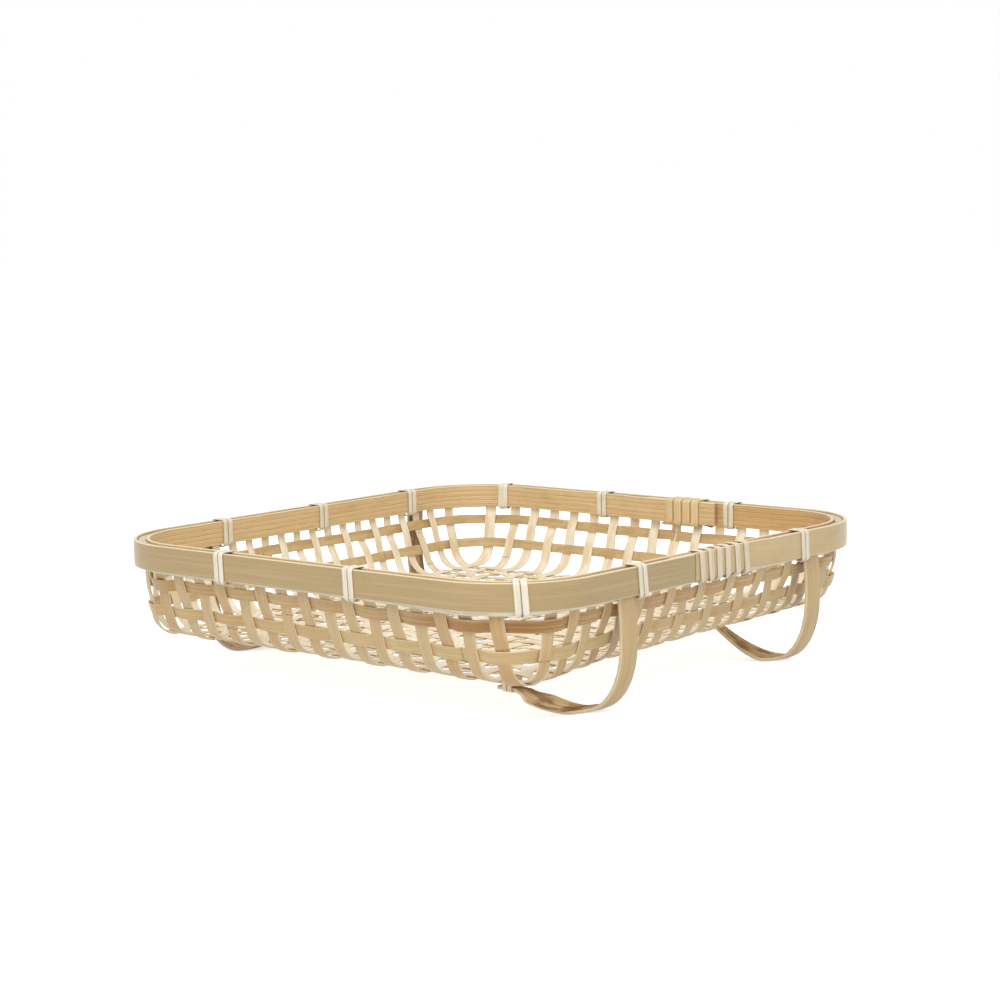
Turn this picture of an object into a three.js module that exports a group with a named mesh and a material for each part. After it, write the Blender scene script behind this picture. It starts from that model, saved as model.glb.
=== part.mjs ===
// A square bamboo tray basket. Flat splints are woven over and under each other into a tray,
// their ends are held between two bent hoops with cane lashings, and four bent strips make the
// feet. Millimetres, +Z up, origin on the floor under the middle of the basket.
import * as THREE from "three";

// Rim, from the outside in: outer hoop, pocket for the feet, filler strip, splint ends, inner hoop
const RIM_SIDE = 300;
const RIM_CORNER = 50;
const RIM_TOP = 71;
const OUTER_HOOP_HEIGHT = 14;
const INNER_HOOP_HEIGHT = 13;
const HOOP_WALL = 1.8;
const FILLER_WALL = 0.9;
const FILLER_HEIGHT = 14;
const FILLER_PEEK = 2; // how far the filler shows below the outer hoop
const LAYER_GAP = 0.4; // clearance between the layers of the rim

// Woven sheet
const BASE_HEIGHT = 19.5; // middle of the woven base above the floor
const BEND = 13; // radius of the rounded bottom edge
const WALL_LEAN = (18 * Math.PI) / 180; // how far the wall leans out from upright
const BASE_SQUARER = 14; // how much longer the straight sides are at the base than at the rim
const ACROSS_WIDTH = 7.6; // splints that run front to back
const ALONG_WIDTH = 6.2; // splints that run left to right
const SPLINT_WALL = 0.7;
const SPLINT_TOP_DROP = 2; // splint ends below the top of the rim
const ACROSS_COUNT = 17;
const ALONG_COUNT = 20;
const ACROSS_EDGE_IN = 28; // rim's outside to the middle of the outermost splint
const ALONG_EDGE_IN = 31;
const WEAVER_WIDTH = 7;
const WEAVER_DROP = 5.8; // upper weaver below the filler, along the wall
const WEAVER_PITCH = 16.1; // upper to lower weaver, along the wall
const WEAVE_GAP = 0.4; // clearance where two strips cross

// Cane
const CANE_WALL = 0.9;
const CANE_GAP = 0.4; // clearance around what a cane is wound on, and between its turns

// Feet
const FOOT_WIDTH = 12.5;
const FOOT_WALL = 1.8;
const FOOT_TOP_DROP = 2;
const FOOT_BOW = 1; // how far a leg stands off the wall
const FOOT_CURL = 33; // height of the curl from the leg to the floor
const FOOT_REACH = 19; // leg to the start of the flat on the floor
const FOOT_FLAT = 3;
const FOOT_TAIL = 13; // end under the base
const TAIL_WIDTH = 6.2;
const FLAT_SLANT = 0.1; // share of the sideways slant made on the flat
const FOOT_STEPS = 6;

// Hoop joints: each hoop is one strip whose ends lap
const LAP_RAMP = 20;
const STRIP_END_GAP = 1; // between the meeting ends of a ring that doesn't lap
const OUTER_JOINT_INDEX = 8; // first gap between splints that each joint's binding passes through
const INNER_JOINT_INDEX = 10;
const OUTER_JOINT_COUNT = 4; // gaps that each binding passes through
const INNER_JOINT_COUNT = 3;
const OUTER_LAP_INDEX = 6; // gap where the tucked end of the outer hoop lies
const INNER_LAP_INDEX = 7; // gap where the covered end of the inner hoop lies

// Facets
const CORNER_STEPS = 12;
const WEAVER_CORNER_STEPS = 3; // between two crossings
const BEND_STEPS = 6; // of a splint, up to the lower weaver
const ROW_STEPS = 3; // of a splint, between the two weavers
const SAME_PLACE = 0.01;

// Places in the rim's depth, from its outside
const POCKET = Math.max(FOOT_WALL, HOOP_WALL);
const OUTER_MID = HOOP_WALL / 2;
const POCKET_IN = HOOP_WALL + LAYER_GAP;
const POCKET_MID = POCKET_IN + POCKET / 2;
const FILLER_IN = POCKET_IN + POCKET + LAYER_GAP;
const SPLINT_IN = FILLER_IN + FILLER_WALL + LAYER_GAP;
const SPLINT_MID = SPLINT_IN + SPLINT_WALL / 2;
const INNER_IN = SPLINT_IN + SPLINT_WALL + LAYER_GAP;
const INNER_MID = INNER_IN + HOOP_WALL / 2;
const RIM_DEPTH = INNER_IN + HOOP_WALL;
const HOOP_STEP = HOOP_WALL + LAYER_GAP; // one lapped layer

// Heights and plan of the sheet: flat base, rounded edge, leaning wall, upright ends in the rim
const CORE = RIM_SIDE / 2 - RIM_CORNER; // half the straight length of every side
const FILLER_LOW = RIM_TOP - OUTER_HOOP_HEIGHT - FILLER_PEEK;
const BEND_TURN = Math.PI / 2 - WALL_LEAN;
const BEND_RISE = BEND * (1 - Math.cos(BEND_TURN));
const BEND_LENGTH = BEND * BEND_TURN;
const WALL_LENGTH = (FILLER_LOW - BASE_HEIGHT - BEND_RISE) / Math.cos(WALL_LEAN);
const WALL_TOP = BEND_LENGTH + WALL_LENGTH;
const BEND_IN = SPLINT_MID + WALL_LENGTH * Math.sin(WALL_LEAN); // end of the rounded edge, in plan
const BASE_CORE = CORE + BASE_SQUARER;
const BASE_ROUND = RIM_SIDE / 2 - BEND_IN - BEND * Math.sin(BEND_TURN) - BASE_CORE;
const SPLINT_END = WALL_TOP + (RIM_TOP - SPLINT_TOP_DROP - FILLER_LOW);
const UPPER_ROW = WALL_TOP - WEAVER_DROP;
const LOWER_ROW = UPPER_ROW - WEAVER_PITCH;

// Spacing of the splints
const ACROSS_EDGE = RIM_SIDE / 2 - ACROSS_EDGE_IN;
const ALONG_EDGE = RIM_SIDE / 2 - ALONG_EDGE_IN;
const ACROSS_PITCH = (2 * ACROSS_EDGE) / (ACROSS_COUNT - 1);
const ALONG_PITCH = (2 * ALONG_EDGE) / (ALONG_COUNT - 1);
const acrossAt = (index) => index * ACROSS_PITCH - ACROSS_EDGE;
const alongAt = (index) => index * ALONG_PITCH - ALONG_EDGE;

// Height of the weave's waves: two strips clear each other at the corners of their crossing, where
// a slanting wall measures a little more, and the rounded bottom edge takes some of the room
const SLANT_WALL = 1.04 * SPLINT_WALL;
const WAVE_SLACK = Math.max(ACROSS_WIDTH, ALONG_WIDTH) ** 2 / (8 * BEND);
const WAVE_ROOM = 2 - ACROSS_WIDTH / ACROSS_PITCH - ALONG_WIDTH / ALONG_PITCH;
const WAVE = (SLANT_WALL + WEAVE_GAP) / WAVE_ROOM + WAVE_SLACK;
const SHEET_HALF = WAVE + SPLINT_WALL / 2;

// Canes pass between neighbouring splints, two side by side
const GAP_WIDTH = Math.min(ACROSS_PITCH - ACROSS_WIDTH, ALONG_PITCH - ALONG_WIDTH);
const CANE_SLOT = GAP_WIDTH - 2 * CANE_GAP;
const CANE_WIDTH = (CANE_SLOT - CANE_GAP) / 2;
const CANE_STEP = CANE_WIDTH + CANE_GAP;
const CANE_OFF = CANE_GAP + CANE_WALL / 2; // middle of a cane off what it is wound on

const BAMBOO = new THREE.MeshStandardMaterial({ color: 0xc9ad7c, roughness: 0.55, metalness: 0 });
const SKIN = new THREE.MeshStandardMaterial({ color: 0xbba576, roughness: 0.45, metalness: 0 });
const CANE = new THREE.MeshStandardMaterial({ color: 0xe9e1cc, roughness: 0.6, metalness: 0 });

const vec = (x, y, z) => new THREE.Vector3(x, y, z);
const UP = vec(0, 0, 1);

// One flat strip with a rectangular section, closed at both ends. Each station gives a point of
// the middle line, the direction the width lies in, and a width of its own if it isn't the usual.
function strip(stations, width, wall) {
  const faces = [];
  for (let k = 0; k + 1 < stations.length; k += 1) {
    const ahead = stations[k + 1].at.clone().sub(stations[k].at);
    const across = stations[k].across.clone().add(stations[k + 1].across);
    faces.push(across.cross(ahead).normalize());
  }
  const points = [];
  stations.forEach((station, k) => {
    const before = faces[Math.max(k - 1, 0)];
    const after = faces[Math.min(k, faces.length - 1)];
    const mitre = before.clone().add(after).divideScalar(1 + before.dot(after));
    const half = station.across.clone().multiplyScalar((station.width ?? width) / 2);
    mitre.multiplyScalar(wall / 2);
    for (const [n, a] of [[1, 1], [-1, 1], [-1, -1], [1, -1]]) {
      const corner = station.at.clone().addScaledVector(mitre, n).addScaledVector(half, a);
      points.push(corner.x, corner.y, corner.z);
    }
  });
  const index = [];
  for (let k = 0; k + 1 < stations.length; k += 1) {
    for (let side = 0; side < 4; side += 1) {
      const a = 4 * k + side;
      const b = 4 * k + ((side + 1) % 4);
      index.push(a, b, b + 4, a, b + 4, a + 4);
    }
  }
  const last = 4 * (stations.length - 1);
  index.push(0, 3, 2, 0, 2, 1, last, last + 1, last + 2, last, last + 2, last + 3);
  const geometry = new THREE.BufferGeometry();
  geometry.setAttribute("position", new THREE.Float32BufferAttribute(points, 3));
  geometry.setIndex(index);
  geometry.computeVertexNormals();
  return geometry;
}

// Plan of the rim. A place is a length along the rim's outside, from the middle of the front,
// counter-clockwise seen from above. Layers further in turn the same corners with a smaller radius.
const quarterOf = (core, corner) => 2 * core + (corner * Math.PI) / 2;
const QUARTER = quarterOf(CORE, RIM_CORNER);
const FACE_OUT = [vec(0, -1, 0), vec(1, 0, 0), vec(0, 1, 0), vec(-1, 0, 0)];
const FACE_RUN = [vec(1, 0, 0), vec(0, 1, 0), vec(-1, 0, 0), vec(0, -1, 0)];
const [FRONT, RIGHT, BACK, LEFT] = [0, 1, 2, 3];

function ringAt(place, core, corner, inset) {
  const quarter = quarterOf(core, corner);
  const face = Math.round(place / quarter);
  const local = place - face * quarter;
  const turn = Math.max(Math.abs(local) - core, 0) / corner;
  const side = Math.sign(local);
  const radius = corner - inset;
  const faceOut = FACE_OUT[((face % 4) + 4) % 4];
  const faceRun = FACE_RUN[((face % 4) + 4) % 4];
  const run = Math.min(Math.abs(local), core) + radius * Math.sin(turn);
  const at = faceOut.clone().multiplyScalar(core + radius * Math.cos(turn));
  at.addScaledVector(faceRun, side * run);
  const out = faceOut.clone().multiplyScalar(Math.cos(turn));
  out.addScaledVector(faceRun, side * Math.sin(turn));
  return { at, out };
}

const rimAt = (place, inset) => ringAt(place, CORE, RIM_CORNER, inset);

// The place on a ring that lies at a distance along one side, measured at a layer's own corner
function placeOn(face, along, core, corner, inset) {
  const past = Math.max(Math.abs(along) - core, 0);
  const length = Math.min(Math.abs(along), core) + corner * Math.asin(past / (corner - inset));
  return face * quarterOf(core, corner) + Math.sign(along) * length;
}

// Places from one end to the other, with enough steps in every corner, and the extra ones given
function rimPlaces(from, to, extra = []) {
  const places = [from, ...extra, to];
  const step = (RIM_CORNER * Math.PI) / 2 / CORNER_STEPS;
  for (let face = Math.floor(from / QUARTER) - 1; face <= Math.ceil(to / QUARTER); face += 1) {
    for (let k = 0; k <= CORNER_STEPS; k += 1) {
      const place = face * QUARTER + CORE + k * step;
      if (place > from && place < to) {
        places.push(place);
      }
    }
  }
  places.sort((a, b) => a - b);
  return places.filter((place, k) => k === 0 || place - places[k - 1] > SAME_PLACE);
}

// A hoop or ring that stands on edge in the rim. The inset may change from place to place.
function rimStrip(places, insetAt, low, height, wall) {
  const stations = places.map((place) => {
    const { at } = rimAt(place, insetAt(place));
    at.z = low + height / 2;
    return { at, across: UP };
  });
  return strip(stations, height, wall);
}

// Point of the woven sheet's middle at a length up its wall, and its outward normal. The length
// is zero where the base starts to round; `side` is the distance along the wall.
function wallAt(length, side) {
  const turn = Math.min(Math.max(length, 0) / BEND, BEND_TURN);
  const leaning = Math.min(Math.max(length - BEND_LENGTH, 0), WALL_LENGTH);
  const upright = Math.max(length - WALL_TOP, 0);
  const core = CORE + BASE_SQUARER * (1 - leaning / WALL_LENGTH);
  const radius = BASE_CORE + BASE_ROUND + BEND * Math.sin(turn) + leaning * Math.cos(turn) - core;
  const past = Math.max(Math.abs(side) - core, 0);
  const forward = Math.sqrt(radius ** 2 - past ** 2);
  const facing = upright > 0 ? Math.PI / 2 : turn;
  const share = Math.sin(facing) / radius;
  return {
    core,
    radius,
    run: core + forward,
    z: BASE_HEIGHT + BEND * (1 - Math.cos(turn)) + leaning * Math.sin(turn) + upright,
    normal: vec(forward * share, Math.sign(side) * past * share, -Math.cos(facing)),
  };
}

// Length up the wall of a point in plan, zero on the flat base
function lengthAt(run, side) {
  const past = [run, side].map((value) => Math.max(Math.abs(value) - BASE_CORE, 0));
  const reach = Math.hypot(...past);
  return BEND * Math.asin(Math.min(Math.max((reach - BASE_ROUND) / BEND, 0), 1));
}

// Point of the sheet's middle at a place in plan
function sheetAt(run, side) {
  const length = lengthAt(run, side);
  if (length === 0) {
    return { run, z: BASE_HEIGHT, normal: vec(0, 0, -1) };
  }
  const past = Math.max(Math.abs(run) - BASE_CORE, 0);
  const pastSide = Math.max(Math.abs(side) - BASE_CORE, 0);
  const turn = length / BEND;
  const lean = Math.sin(turn) / Math.hypot(past, pastSide);
  const normal = vec(Math.sign(run) * past * lean, Math.sign(side) * pastSide * lean, -Math.cos(turn));
  return { run, z: BASE_HEIGHT + BEND * (1 - Math.cos(turn)), normal };
}

// A splint passes outside (+1) or inside (-1) of the splint or weaver it crosses
const acrossSide = (across, along) => ((across + along) % 2 === 0 ? 1 : -1);
const alongSide = (across, along) => -acrossSide(across, along);
const rowSide = (endSide, upper) => (upper ? endSide : -endSide);

// One end of a splint: from its last crossing on the base up into the rim
function splintEnd(side, lastRun, endSide) {
  const from = lengthAt(lastRun, side);
  const lower = [LOWER_ROW, rowSide(endSide, false), BEND_STEPS];
  const upper = [UPPER_ROW, rowSide(endSide, true), ROW_STEPS];
  const stations = [];
  let start = from;
  let startSide = endSide;
  for (const [row, rowPass, steps] of [lower, upper]) {
    for (let k = 1; k <= steps; k += 1) {
      const share = k / steps;
      const pass = startSide + (rowPass - startSide) * share;
      stations.push({ ...wallAt(start + (row - start) * share, side), offset: WAVE * pass });
    }
    start = row;
    startSide = rowPass;
  }
  stations.push({ ...wallAt(WALL_TOP, side), offset: 0 });
  stations.push({ ...wallAt(SPLINT_END, side), offset: 0 });
  return stations;
}

// A whole splint, in its own plan: it runs along `run` at one `side`
function splint(side, crossings, sides, width, toWorld) {
  const mirror = ({ run, z, normal, offset }) => {
    return { run: -run, z, normal: vec(-normal.x, normal.y, normal.z), offset };
  };
  const lastRun = crossings[crossings.length - 1];
  const firstEnd = splintEnd(side, lastRun, sides[0]).map(mirror).reverse();
  const lastEnd = splintEnd(side, lastRun, sides[sides.length - 1]);
  const base = crossings.flatMap((run, k) => {
    const station = { ...sheetAt(run, side), offset: WAVE * sides[k] };
    const next = crossings[k + 1];
    const rounded = Math.max(Math.abs(run), Math.abs(next)) > BASE_CORE;
    return rounded ? [station, { ...sheetAt((run + next) / 2, side), offset: 0 }] : [station];
  });
  const all = [...firstEnd, ...base, ...lastEnd];
  const middles = all.map(({ run, z }) => vec(run, side, z));
  const stations = all.map(({ normal, offset }, k) => {
    const ahead = middles[Math.min(k + 1, all.length - 1)].clone();
    ahead.sub(middles[Math.max(k - 1, 0)]);
    const across = normal.clone().cross(ahead).normalize();
    const at = middles[k].clone().addScaledVector(normal, offset);
    return { at: toWorld(at), across: toWorld(across) };
  });
  return strip(stations, width, SPLINT_WALL);
}

const asAlong = ({ x, y, z }) => vec(x, y, z);
const asAcross = ({ x, y, z }) => vec(y, x, z);
const indices = (count) => Array.from({ length: count }, (_, k) => k);

function acrossSplint(across) {
  const sides = indices(ALONG_COUNT).map((along) => acrossSide(across, along));
  const crossings = indices(ALONG_COUNT).map(alongAt);
  return splint(acrossAt(across), crossings, sides, ACROSS_WIDTH, asAcross);
}

function alongSplint(along) {
  const sides = indices(ACROSS_COUNT).map((across) => alongSide(across, along));
  const crossings = indices(ACROSS_COUNT).map(acrossAt);
  return splint(alongAt(along), crossings, sides, ALONG_WIDTH, asAlong);
}

// A weaver goes round the wall, outside and inside of the splints in turn. Its two ends meet
// behind a splint at the back.
function weaver(row, upper) {
  const { core, radius, z, normal } = wallAt(row, 0);
  const quarter = quarterOf(core, radius);
  const lean = Math.atan2(-normal.z, normal.x);
  const crossings = [];
  const addFace = (face, count, sideAt, endSideAt, forward) => {
    for (const k of indices(count)) {
      const index = forward ? k : count - 1 - k;
      const along = forward ? sideAt(index) : -sideAt(index);
      const offset = -WAVE * rowSide(endSideAt(index), upper);
      crossings.push({ place: placeOn(face, along, core, radius, 0), offset });
    }
  };
  addFace(FRONT, ACROSS_COUNT, acrossAt, (k) => acrossSide(k, 0), true);
  addFace(RIGHT, ALONG_COUNT, alongAt, (k) => alongSide(ACROSS_COUNT - 1, k), true);
  addFace(BACK, ACROSS_COUNT, acrossAt, (k) => acrossSide(k, ALONG_COUNT - 1), false);
  addFace(LEFT, ALONG_COUNT, alongAt, (k) => alongSide(0, k), false);
  const first = ACROSS_COUNT + ALONG_COUNT + Math.floor(ACROSS_COUNT / 2) - 1;
  const turned = crossings.map(({ place, offset }) => ({ place: place + 4 * quarter, offset }));
  const ring = [...crossings.slice(first), ...turned.slice(0, first + 1)];
  const whole = ring.flatMap(({ place, offset }, k) => {
    if (k + 1 === ring.length) {
      return [{ place: place - STRIP_END_GAP / 2, offset }];
    }
    const next = ring[k + 1];
    const middle = (place + next.place) / 2;
    const inCorner = Math.abs(middle - quarter * Math.round(middle / quarter)) > core;
    const steps = inCorner ? WEAVER_CORNER_STEPS : 1;
    const start = k === 0 ? place + STRIP_END_GAP / 2 : place;
    return indices(steps).map((step) => ({
      place: start + ((next.place - start) * step) / steps,
      offset: offset + ((next.offset - offset) * step) / steps,
    }));
  });
  const stations = whole.map(({ place, offset }) => {
    const { at, out } = ringAt(place, core, radius, 0);
    const across = out.clone().multiplyScalar(Math.sin(lean));
    across.addScaledVector(UP, Math.cos(lean));
    at.z = z;
    at.addScaledVector(out, offset * Math.cos(lean)).addScaledVector(UP, -offset * Math.sin(lean));
    return { at, across };
  });
  return strip(stations, WEAVER_WIDTH, SPLINT_WALL);
}

// A cane wound in flat turns around a box in the plane of `out` and up. `turns` gives where each
// turn lies along `run` at the top and at the bottom. The step to the next turn is made under the
// box, or down its inner side where a splint stands between two turns.
function winding({ at, out, run }, { outer, inner, low, high }, turns, stepInside) {
  const stations = [];
  const put = (depth, z, along) => {
    const point = at.clone().addScaledVector(out, depth).addScaledVector(run, along);
    stations.push({ at: point.setZ(z), across: run });
  };
  turns.forEach(({ top, bottom }, k) => {
    const next = turns[k + 1];
    put(outer, low, bottom);
    put(outer, high, top);
    put(inner, high, top);
    if (next) {
      put(inner, low, stepInside ? next.bottom : bottom);
    } else {
      put(inner, stepInside ? high - 2 * CANE_WIDTH : low, stepInside ? top : bottom);
    }
  });
  return strip(stations, CANE_WIDTH, CANE_WALL);
}

// Middle of a cane around the rim; the insets are those of the faces it lies on
function rimLoop(outsideInset, insideInset) {
  return {
    outer: -outsideInset + CANE_OFF,
    inner: -insideInset - CANE_OFF,
    low: FILLER_LOW - CANE_OFF,
    high: RIM_TOP + CANE_OFF,
  };
}

function rimFrame(place) {
  const { at, out } = rimAt(place, 0);
  return { at, out, run: UP.clone().cross(out) };
}

const PAIR = [-CANE_STEP / 2, CANE_STEP / 2].map((along) => ({ top: along, bottom: along }));
const lashing = (place) => winding(rimFrame(place), rimLoop(0, RIM_DEPTH), PAIR, false);

// Gaps between splints, counted from the left on the front and back, from the front on the sides
const acrossGap = (gap) => acrossAt(gap) + ACROSS_PITCH / 2;
const alongGap = (gap) => alongAt(gap) + ALONG_PITCH / 2;
const LASHINGS = {
  lashing_front_left: FRONT * QUARTER + acrossGap(4),
  lashing_front_right: FRONT * QUARTER + acrossGap(10),
  lashing_front_corner: FRONT * QUARTER + QUARTER / 2,
  lashing_right_front: RIGHT * QUARTER + alongGap(4),
  lashing_right_back: RIGHT * QUARTER + alongGap(15),
  lashing_back_right: BACK * QUARTER - acrossGap(11),
  lashing_back_left: BACK * QUARTER - acrossGap(5),
  lashing_back_corner: placeOn(BACK, -acrossGap(0), CORE, RIM_CORNER, SPLINT_MID),
  lashing_left_back: LEFT * QUARTER - alongGap(16),
  lashing_left_middle: LEFT * QUARTER - alongGap(10),
  lashing_left_front: LEFT * QUARTER - alongGap(4),
};

// A binding of many turns, evenly spread at the top. One passes through the first and the last gap
// between splints, and two through each gap between them.
function binding(place, pitch, gaps, loop) {
  const span = (gaps - 1) * pitch;
  const bottoms = indices(gaps).flatMap((gap) => {
    const alone = gap === 0 || gap === gaps - 1;
    return (alone ? [0] : [-CANE_STEP / 2, CANE_STEP / 2]).map((aside) => gap * pitch + aside);
  });
  const turns = bottoms.map((bottom, k) => ({ top: (span * k) / (bottoms.length - 1), bottom }));
  return winding(rimFrame(place), loop, turns, true);
}

// The outer hoop is one strip. Its start is tucked into the pocket behind its end, on the right.
const OUTER_START = RIGHT * QUARTER + alongGap(OUTER_LAP_INDEX);
const OUTER_END = RIGHT * QUARTER + alongAt(OUTER_JOINT_INDEX);
const OUTER_OPEN = RIGHT * QUARTER + alongAt(OUTER_JOINT_INDEX + OUTER_JOINT_COUNT);

function outerHoop() {
  const insetAt = (place) => {
    const share = Math.min(Math.max((place - OUTER_OPEN) / LAP_RAMP, 0), 1);
    return OUTER_MID + HOOP_STEP * (1 - share);
  };
  const ramp = [OUTER_OPEN, OUTER_OPEN + LAP_RAMP];
  const places = rimPlaces(OUTER_START, OUTER_END + 4 * QUARTER, ramp);
  return rimStrip(places, insetAt, RIM_TOP - OUTER_HOOP_HEIGHT, OUTER_HOOP_HEIGHT, HOOP_WALL);
}

function outerBinding() {
  const place = RIGHT * QUARTER + alongGap(OUTER_JOINT_INDEX);
  return binding(place, ALONG_PITCH, OUTER_JOINT_COUNT, rimLoop(HOOP_STEP, RIM_DEPTH));
}

// The inner hoop is one strip. Its start lies on the inside of its end, at the back.
const INNER_START = BACK * QUARTER - acrossAt(INNER_JOINT_INDEX + 1);
const INNER_OPEN = BACK * QUARTER - acrossGap(INNER_LAP_INDEX);
const INNER_END = INNER_OPEN - HOOP_STEP;

function innerHoop() {
  const insetAt = (place) => {
    const share = Math.min(Math.max((place - INNER_OPEN) / LAP_RAMP, 0), 1);
    return INNER_MID + HOOP_STEP * (1 - share);
  };
  const ramp = [INNER_OPEN, INNER_OPEN + LAP_RAMP];
  const places = rimPlaces(INNER_START, INNER_END + 4 * QUARTER, ramp);
  return rimStrip(places, insetAt, RIM_TOP - INNER_HOOP_HEIGHT, INNER_HOOP_HEIGHT, HOOP_WALL);
}

function innerBinding() {
  const place = BACK * QUARTER - acrossGap(INNER_JOINT_INDEX);
  return binding(place, ACROSS_PITCH, INNER_JOINT_COUNT, rimLoop(0, RIM_DEPTH + HOOP_STEP));
}

// The filler is one thin strip; its ends meet on the left
function fillerStrip() {
  const from = (LEFT - 4) * QUARTER + STRIP_END_GAP / 2;
  const places = rimPlaces(from, from + 4 * QUARTER - STRIP_END_GAP);
  const inset = FILLER_IN + FILLER_WALL / 2;
  return rimStrip(places, () => inset, FILLER_LOW, FILLER_HEIGHT, FILLER_WALL);
}

// Feet. A leg hangs in the pocket beside a lashing, curls under to a flat on the floor, slants to
// one side and rises to lie under a splint of the base, at a gap between two others. `lead` is the
// share of the slant made before the flat. Drawn for the right side; the left side's feet are turned
// half round.
const LEG_BESIDE = (CANE_STEP + CANE_WIDTH) / 2 + CANE_GAP + FOOT_WIDTH / 2;
const TAIL_Z = BASE_HEIGHT - SHEET_HALF - LAYER_GAP - FOOT_WALL / 2;
const FEET = [
  { name: "right_front", leg: alongGap(4) - LEG_BESIDE, splint: 0, gap: 15, lead: 0.1 },
  { name: "right_back", leg: alongGap(15) + LEG_BESIDE, splint: 14, gap: 14, lead: 0.1 },
  { name: "left_back", leg: alongGap(2) - LEG_BESIDE, splint: 4, gap: 14, lead: 0.1, turned: true },
  { name: "left_front", leg: alongGap(14) + LEG_BESIDE, splint: 13, gap: 14, lead: 0.3, turned: true },
];
const halfTurn = ({ x, y, z }) => vec(-x, -y, z);

function foot({ leg, splint: base, gap, lead, turned }) {
  const pocketX = RIM_SIDE / 2 - POCKET_MID;
  const legX = RIM_SIDE / 2 - SPLINT_MID + SHEET_HALF + LAYER_GAP + FOOT_WALL / 2 + FOOT_BOW;
  const floorZ = FOOT_WALL / 2;
  const flatX = legX - FOOT_REACH;
  const riseX = flatX - FOOT_FLAT;
  const tailX = acrossGap(gap) + FOOT_TAIL / 2;
  const curlTop = floorZ + FOOT_CURL;
  const path = [
    { x: pocketX, z: RIM_TOP - FOOT_TOP_DROP, slant: 0 },
    { x: pocketX, z: RIM_TOP - OUTER_HOOP_HEIGHT, slant: 0 },
    { x: legX, z: (FILLER_LOW + curlTop) / 2, slant: 0 },
  ];
  for (let k = 0; k <= FOOT_STEPS; k += 1) {
    const turn = ((k / FOOT_STEPS) * Math.PI) / 2;
    const x = flatX + FOOT_REACH * Math.cos(turn);
    const z = curlTop - FOOT_CURL * Math.sin(turn);
    path.push({ x, z, slant: lead * (k / FOOT_STEPS) ** 2 });
  }
  for (let k = 0; k <= FOOT_STEPS; k += 1) {
    const share = k / FOOT_STEPS;
    const ease = (share * (3 + share * (3 - 2 * share))) / 4;
    const x = riseX + (tailX - riseX) * share;
    const led = lead + FLAT_SLANT;
    const slant = led + (1 - led) * share;
    path.push({ x, z: floorZ + (TAIL_Z - floorZ) * ease, slant, taper: share });
  }
  path.push({ x: tailX - FOOT_TAIL, z: TAIL_Z, slant: 1, taper: 1 });
  const across = vec(0, 1, 0);
  const stations = path.map(({ x, z, slant, taper = 0 }) => {
    const at = vec(x, leg + (alongAt(base) - leg) * slant, z);
    const width = FOOT_WIDTH + (TAIL_WIDTH - FOOT_WIDTH) * taper ** 2;
    return { at: turned ? halfTurn(at) : at, across, width };
  });
  return strip(stations, FOOT_WIDTH, FOOT_WALL);
}

const basket = new THREE.Group();
basket.name = "storage_basket";

function add(name, geometry, material) {
  const mesh = new THREE.Mesh(geometry, material);
  mesh.name = name;
  basket.add(mesh);
}

const number = (index) => String(index + 1).padStart(2, "0");
for (const k of indices(ACROSS_COUNT)) {
  add(`splint_across_${number(k)}`, acrossSplint(k), BAMBOO);
}
for (const k of indices(ALONG_COUNT)) {
  add(`splint_along_${number(k)}`, alongSplint(k), BAMBOO);
}
add("weaver_upper", weaver(UPPER_ROW, true), BAMBOO);
add("weaver_lower", weaver(LOWER_ROW, false), BAMBOO);
add("outer_hoop", outerHoop(), SKIN);
add("inner_hoop", innerHoop(), SKIN);
add("filler_strip", fillerStrip(), CANE);
add("outer_hoop_binding", outerBinding(), CANE);
add("inner_hoop_binding", innerBinding(), BAMBOO);
for (const [name, place] of Object.entries(LASHINGS)) {
  add(name, lashing(place), CANE);
}
for (const each of FEET) {
  add(`foot_${each.name}`, foot(each), SKIN);
}

export default basket;
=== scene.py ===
"""Looks of a square bamboo tray basket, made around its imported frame.

Every strip of the basket is a rounded section carried along a path, worked out as whole arrays.
Sizes are millimetres until a mesh is written, which is in metres. The front faces -Y and +Z is up.
"""
import logging
import math
from dataclasses import dataclass, replace
from enum import Enum
from functools import cache

import bpy
import numpy as np
from mathutils import Matrix, Vector


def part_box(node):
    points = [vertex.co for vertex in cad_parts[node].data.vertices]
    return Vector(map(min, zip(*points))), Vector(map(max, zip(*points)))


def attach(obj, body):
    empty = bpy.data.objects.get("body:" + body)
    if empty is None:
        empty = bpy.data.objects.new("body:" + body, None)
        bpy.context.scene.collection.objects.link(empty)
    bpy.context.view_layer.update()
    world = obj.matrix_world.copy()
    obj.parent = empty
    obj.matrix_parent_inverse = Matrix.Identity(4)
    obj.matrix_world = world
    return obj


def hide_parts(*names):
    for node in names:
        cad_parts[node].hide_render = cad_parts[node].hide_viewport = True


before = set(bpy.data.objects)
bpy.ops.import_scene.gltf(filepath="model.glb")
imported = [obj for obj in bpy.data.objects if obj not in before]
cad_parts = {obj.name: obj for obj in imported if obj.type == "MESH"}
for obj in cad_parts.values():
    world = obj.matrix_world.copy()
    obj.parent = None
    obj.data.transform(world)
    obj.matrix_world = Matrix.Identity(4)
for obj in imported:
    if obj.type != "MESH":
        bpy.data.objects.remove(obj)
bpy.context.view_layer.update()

Array = np.ndarray
Colour = tuple[float, float, float]
Random = np.random.Generator
Socket = bpy.types.NodeSocket
LOG = logging.getLogger("basket")
MM = 0.001
BODY = "root"
SEED = 20
UV_NAME = "strip"
CREASE = math.radians(50)
UP = np.array([0.0, 0.0, 1.0])
PAIR = np.array([-0.5, 0.5])
# The stem that a strip is cut from: its length, the room between its joints and how far they stand out.
STEM = 9000.0
JOINT_EVERY = 170.0
JOINT_RISE = 0.12


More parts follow.
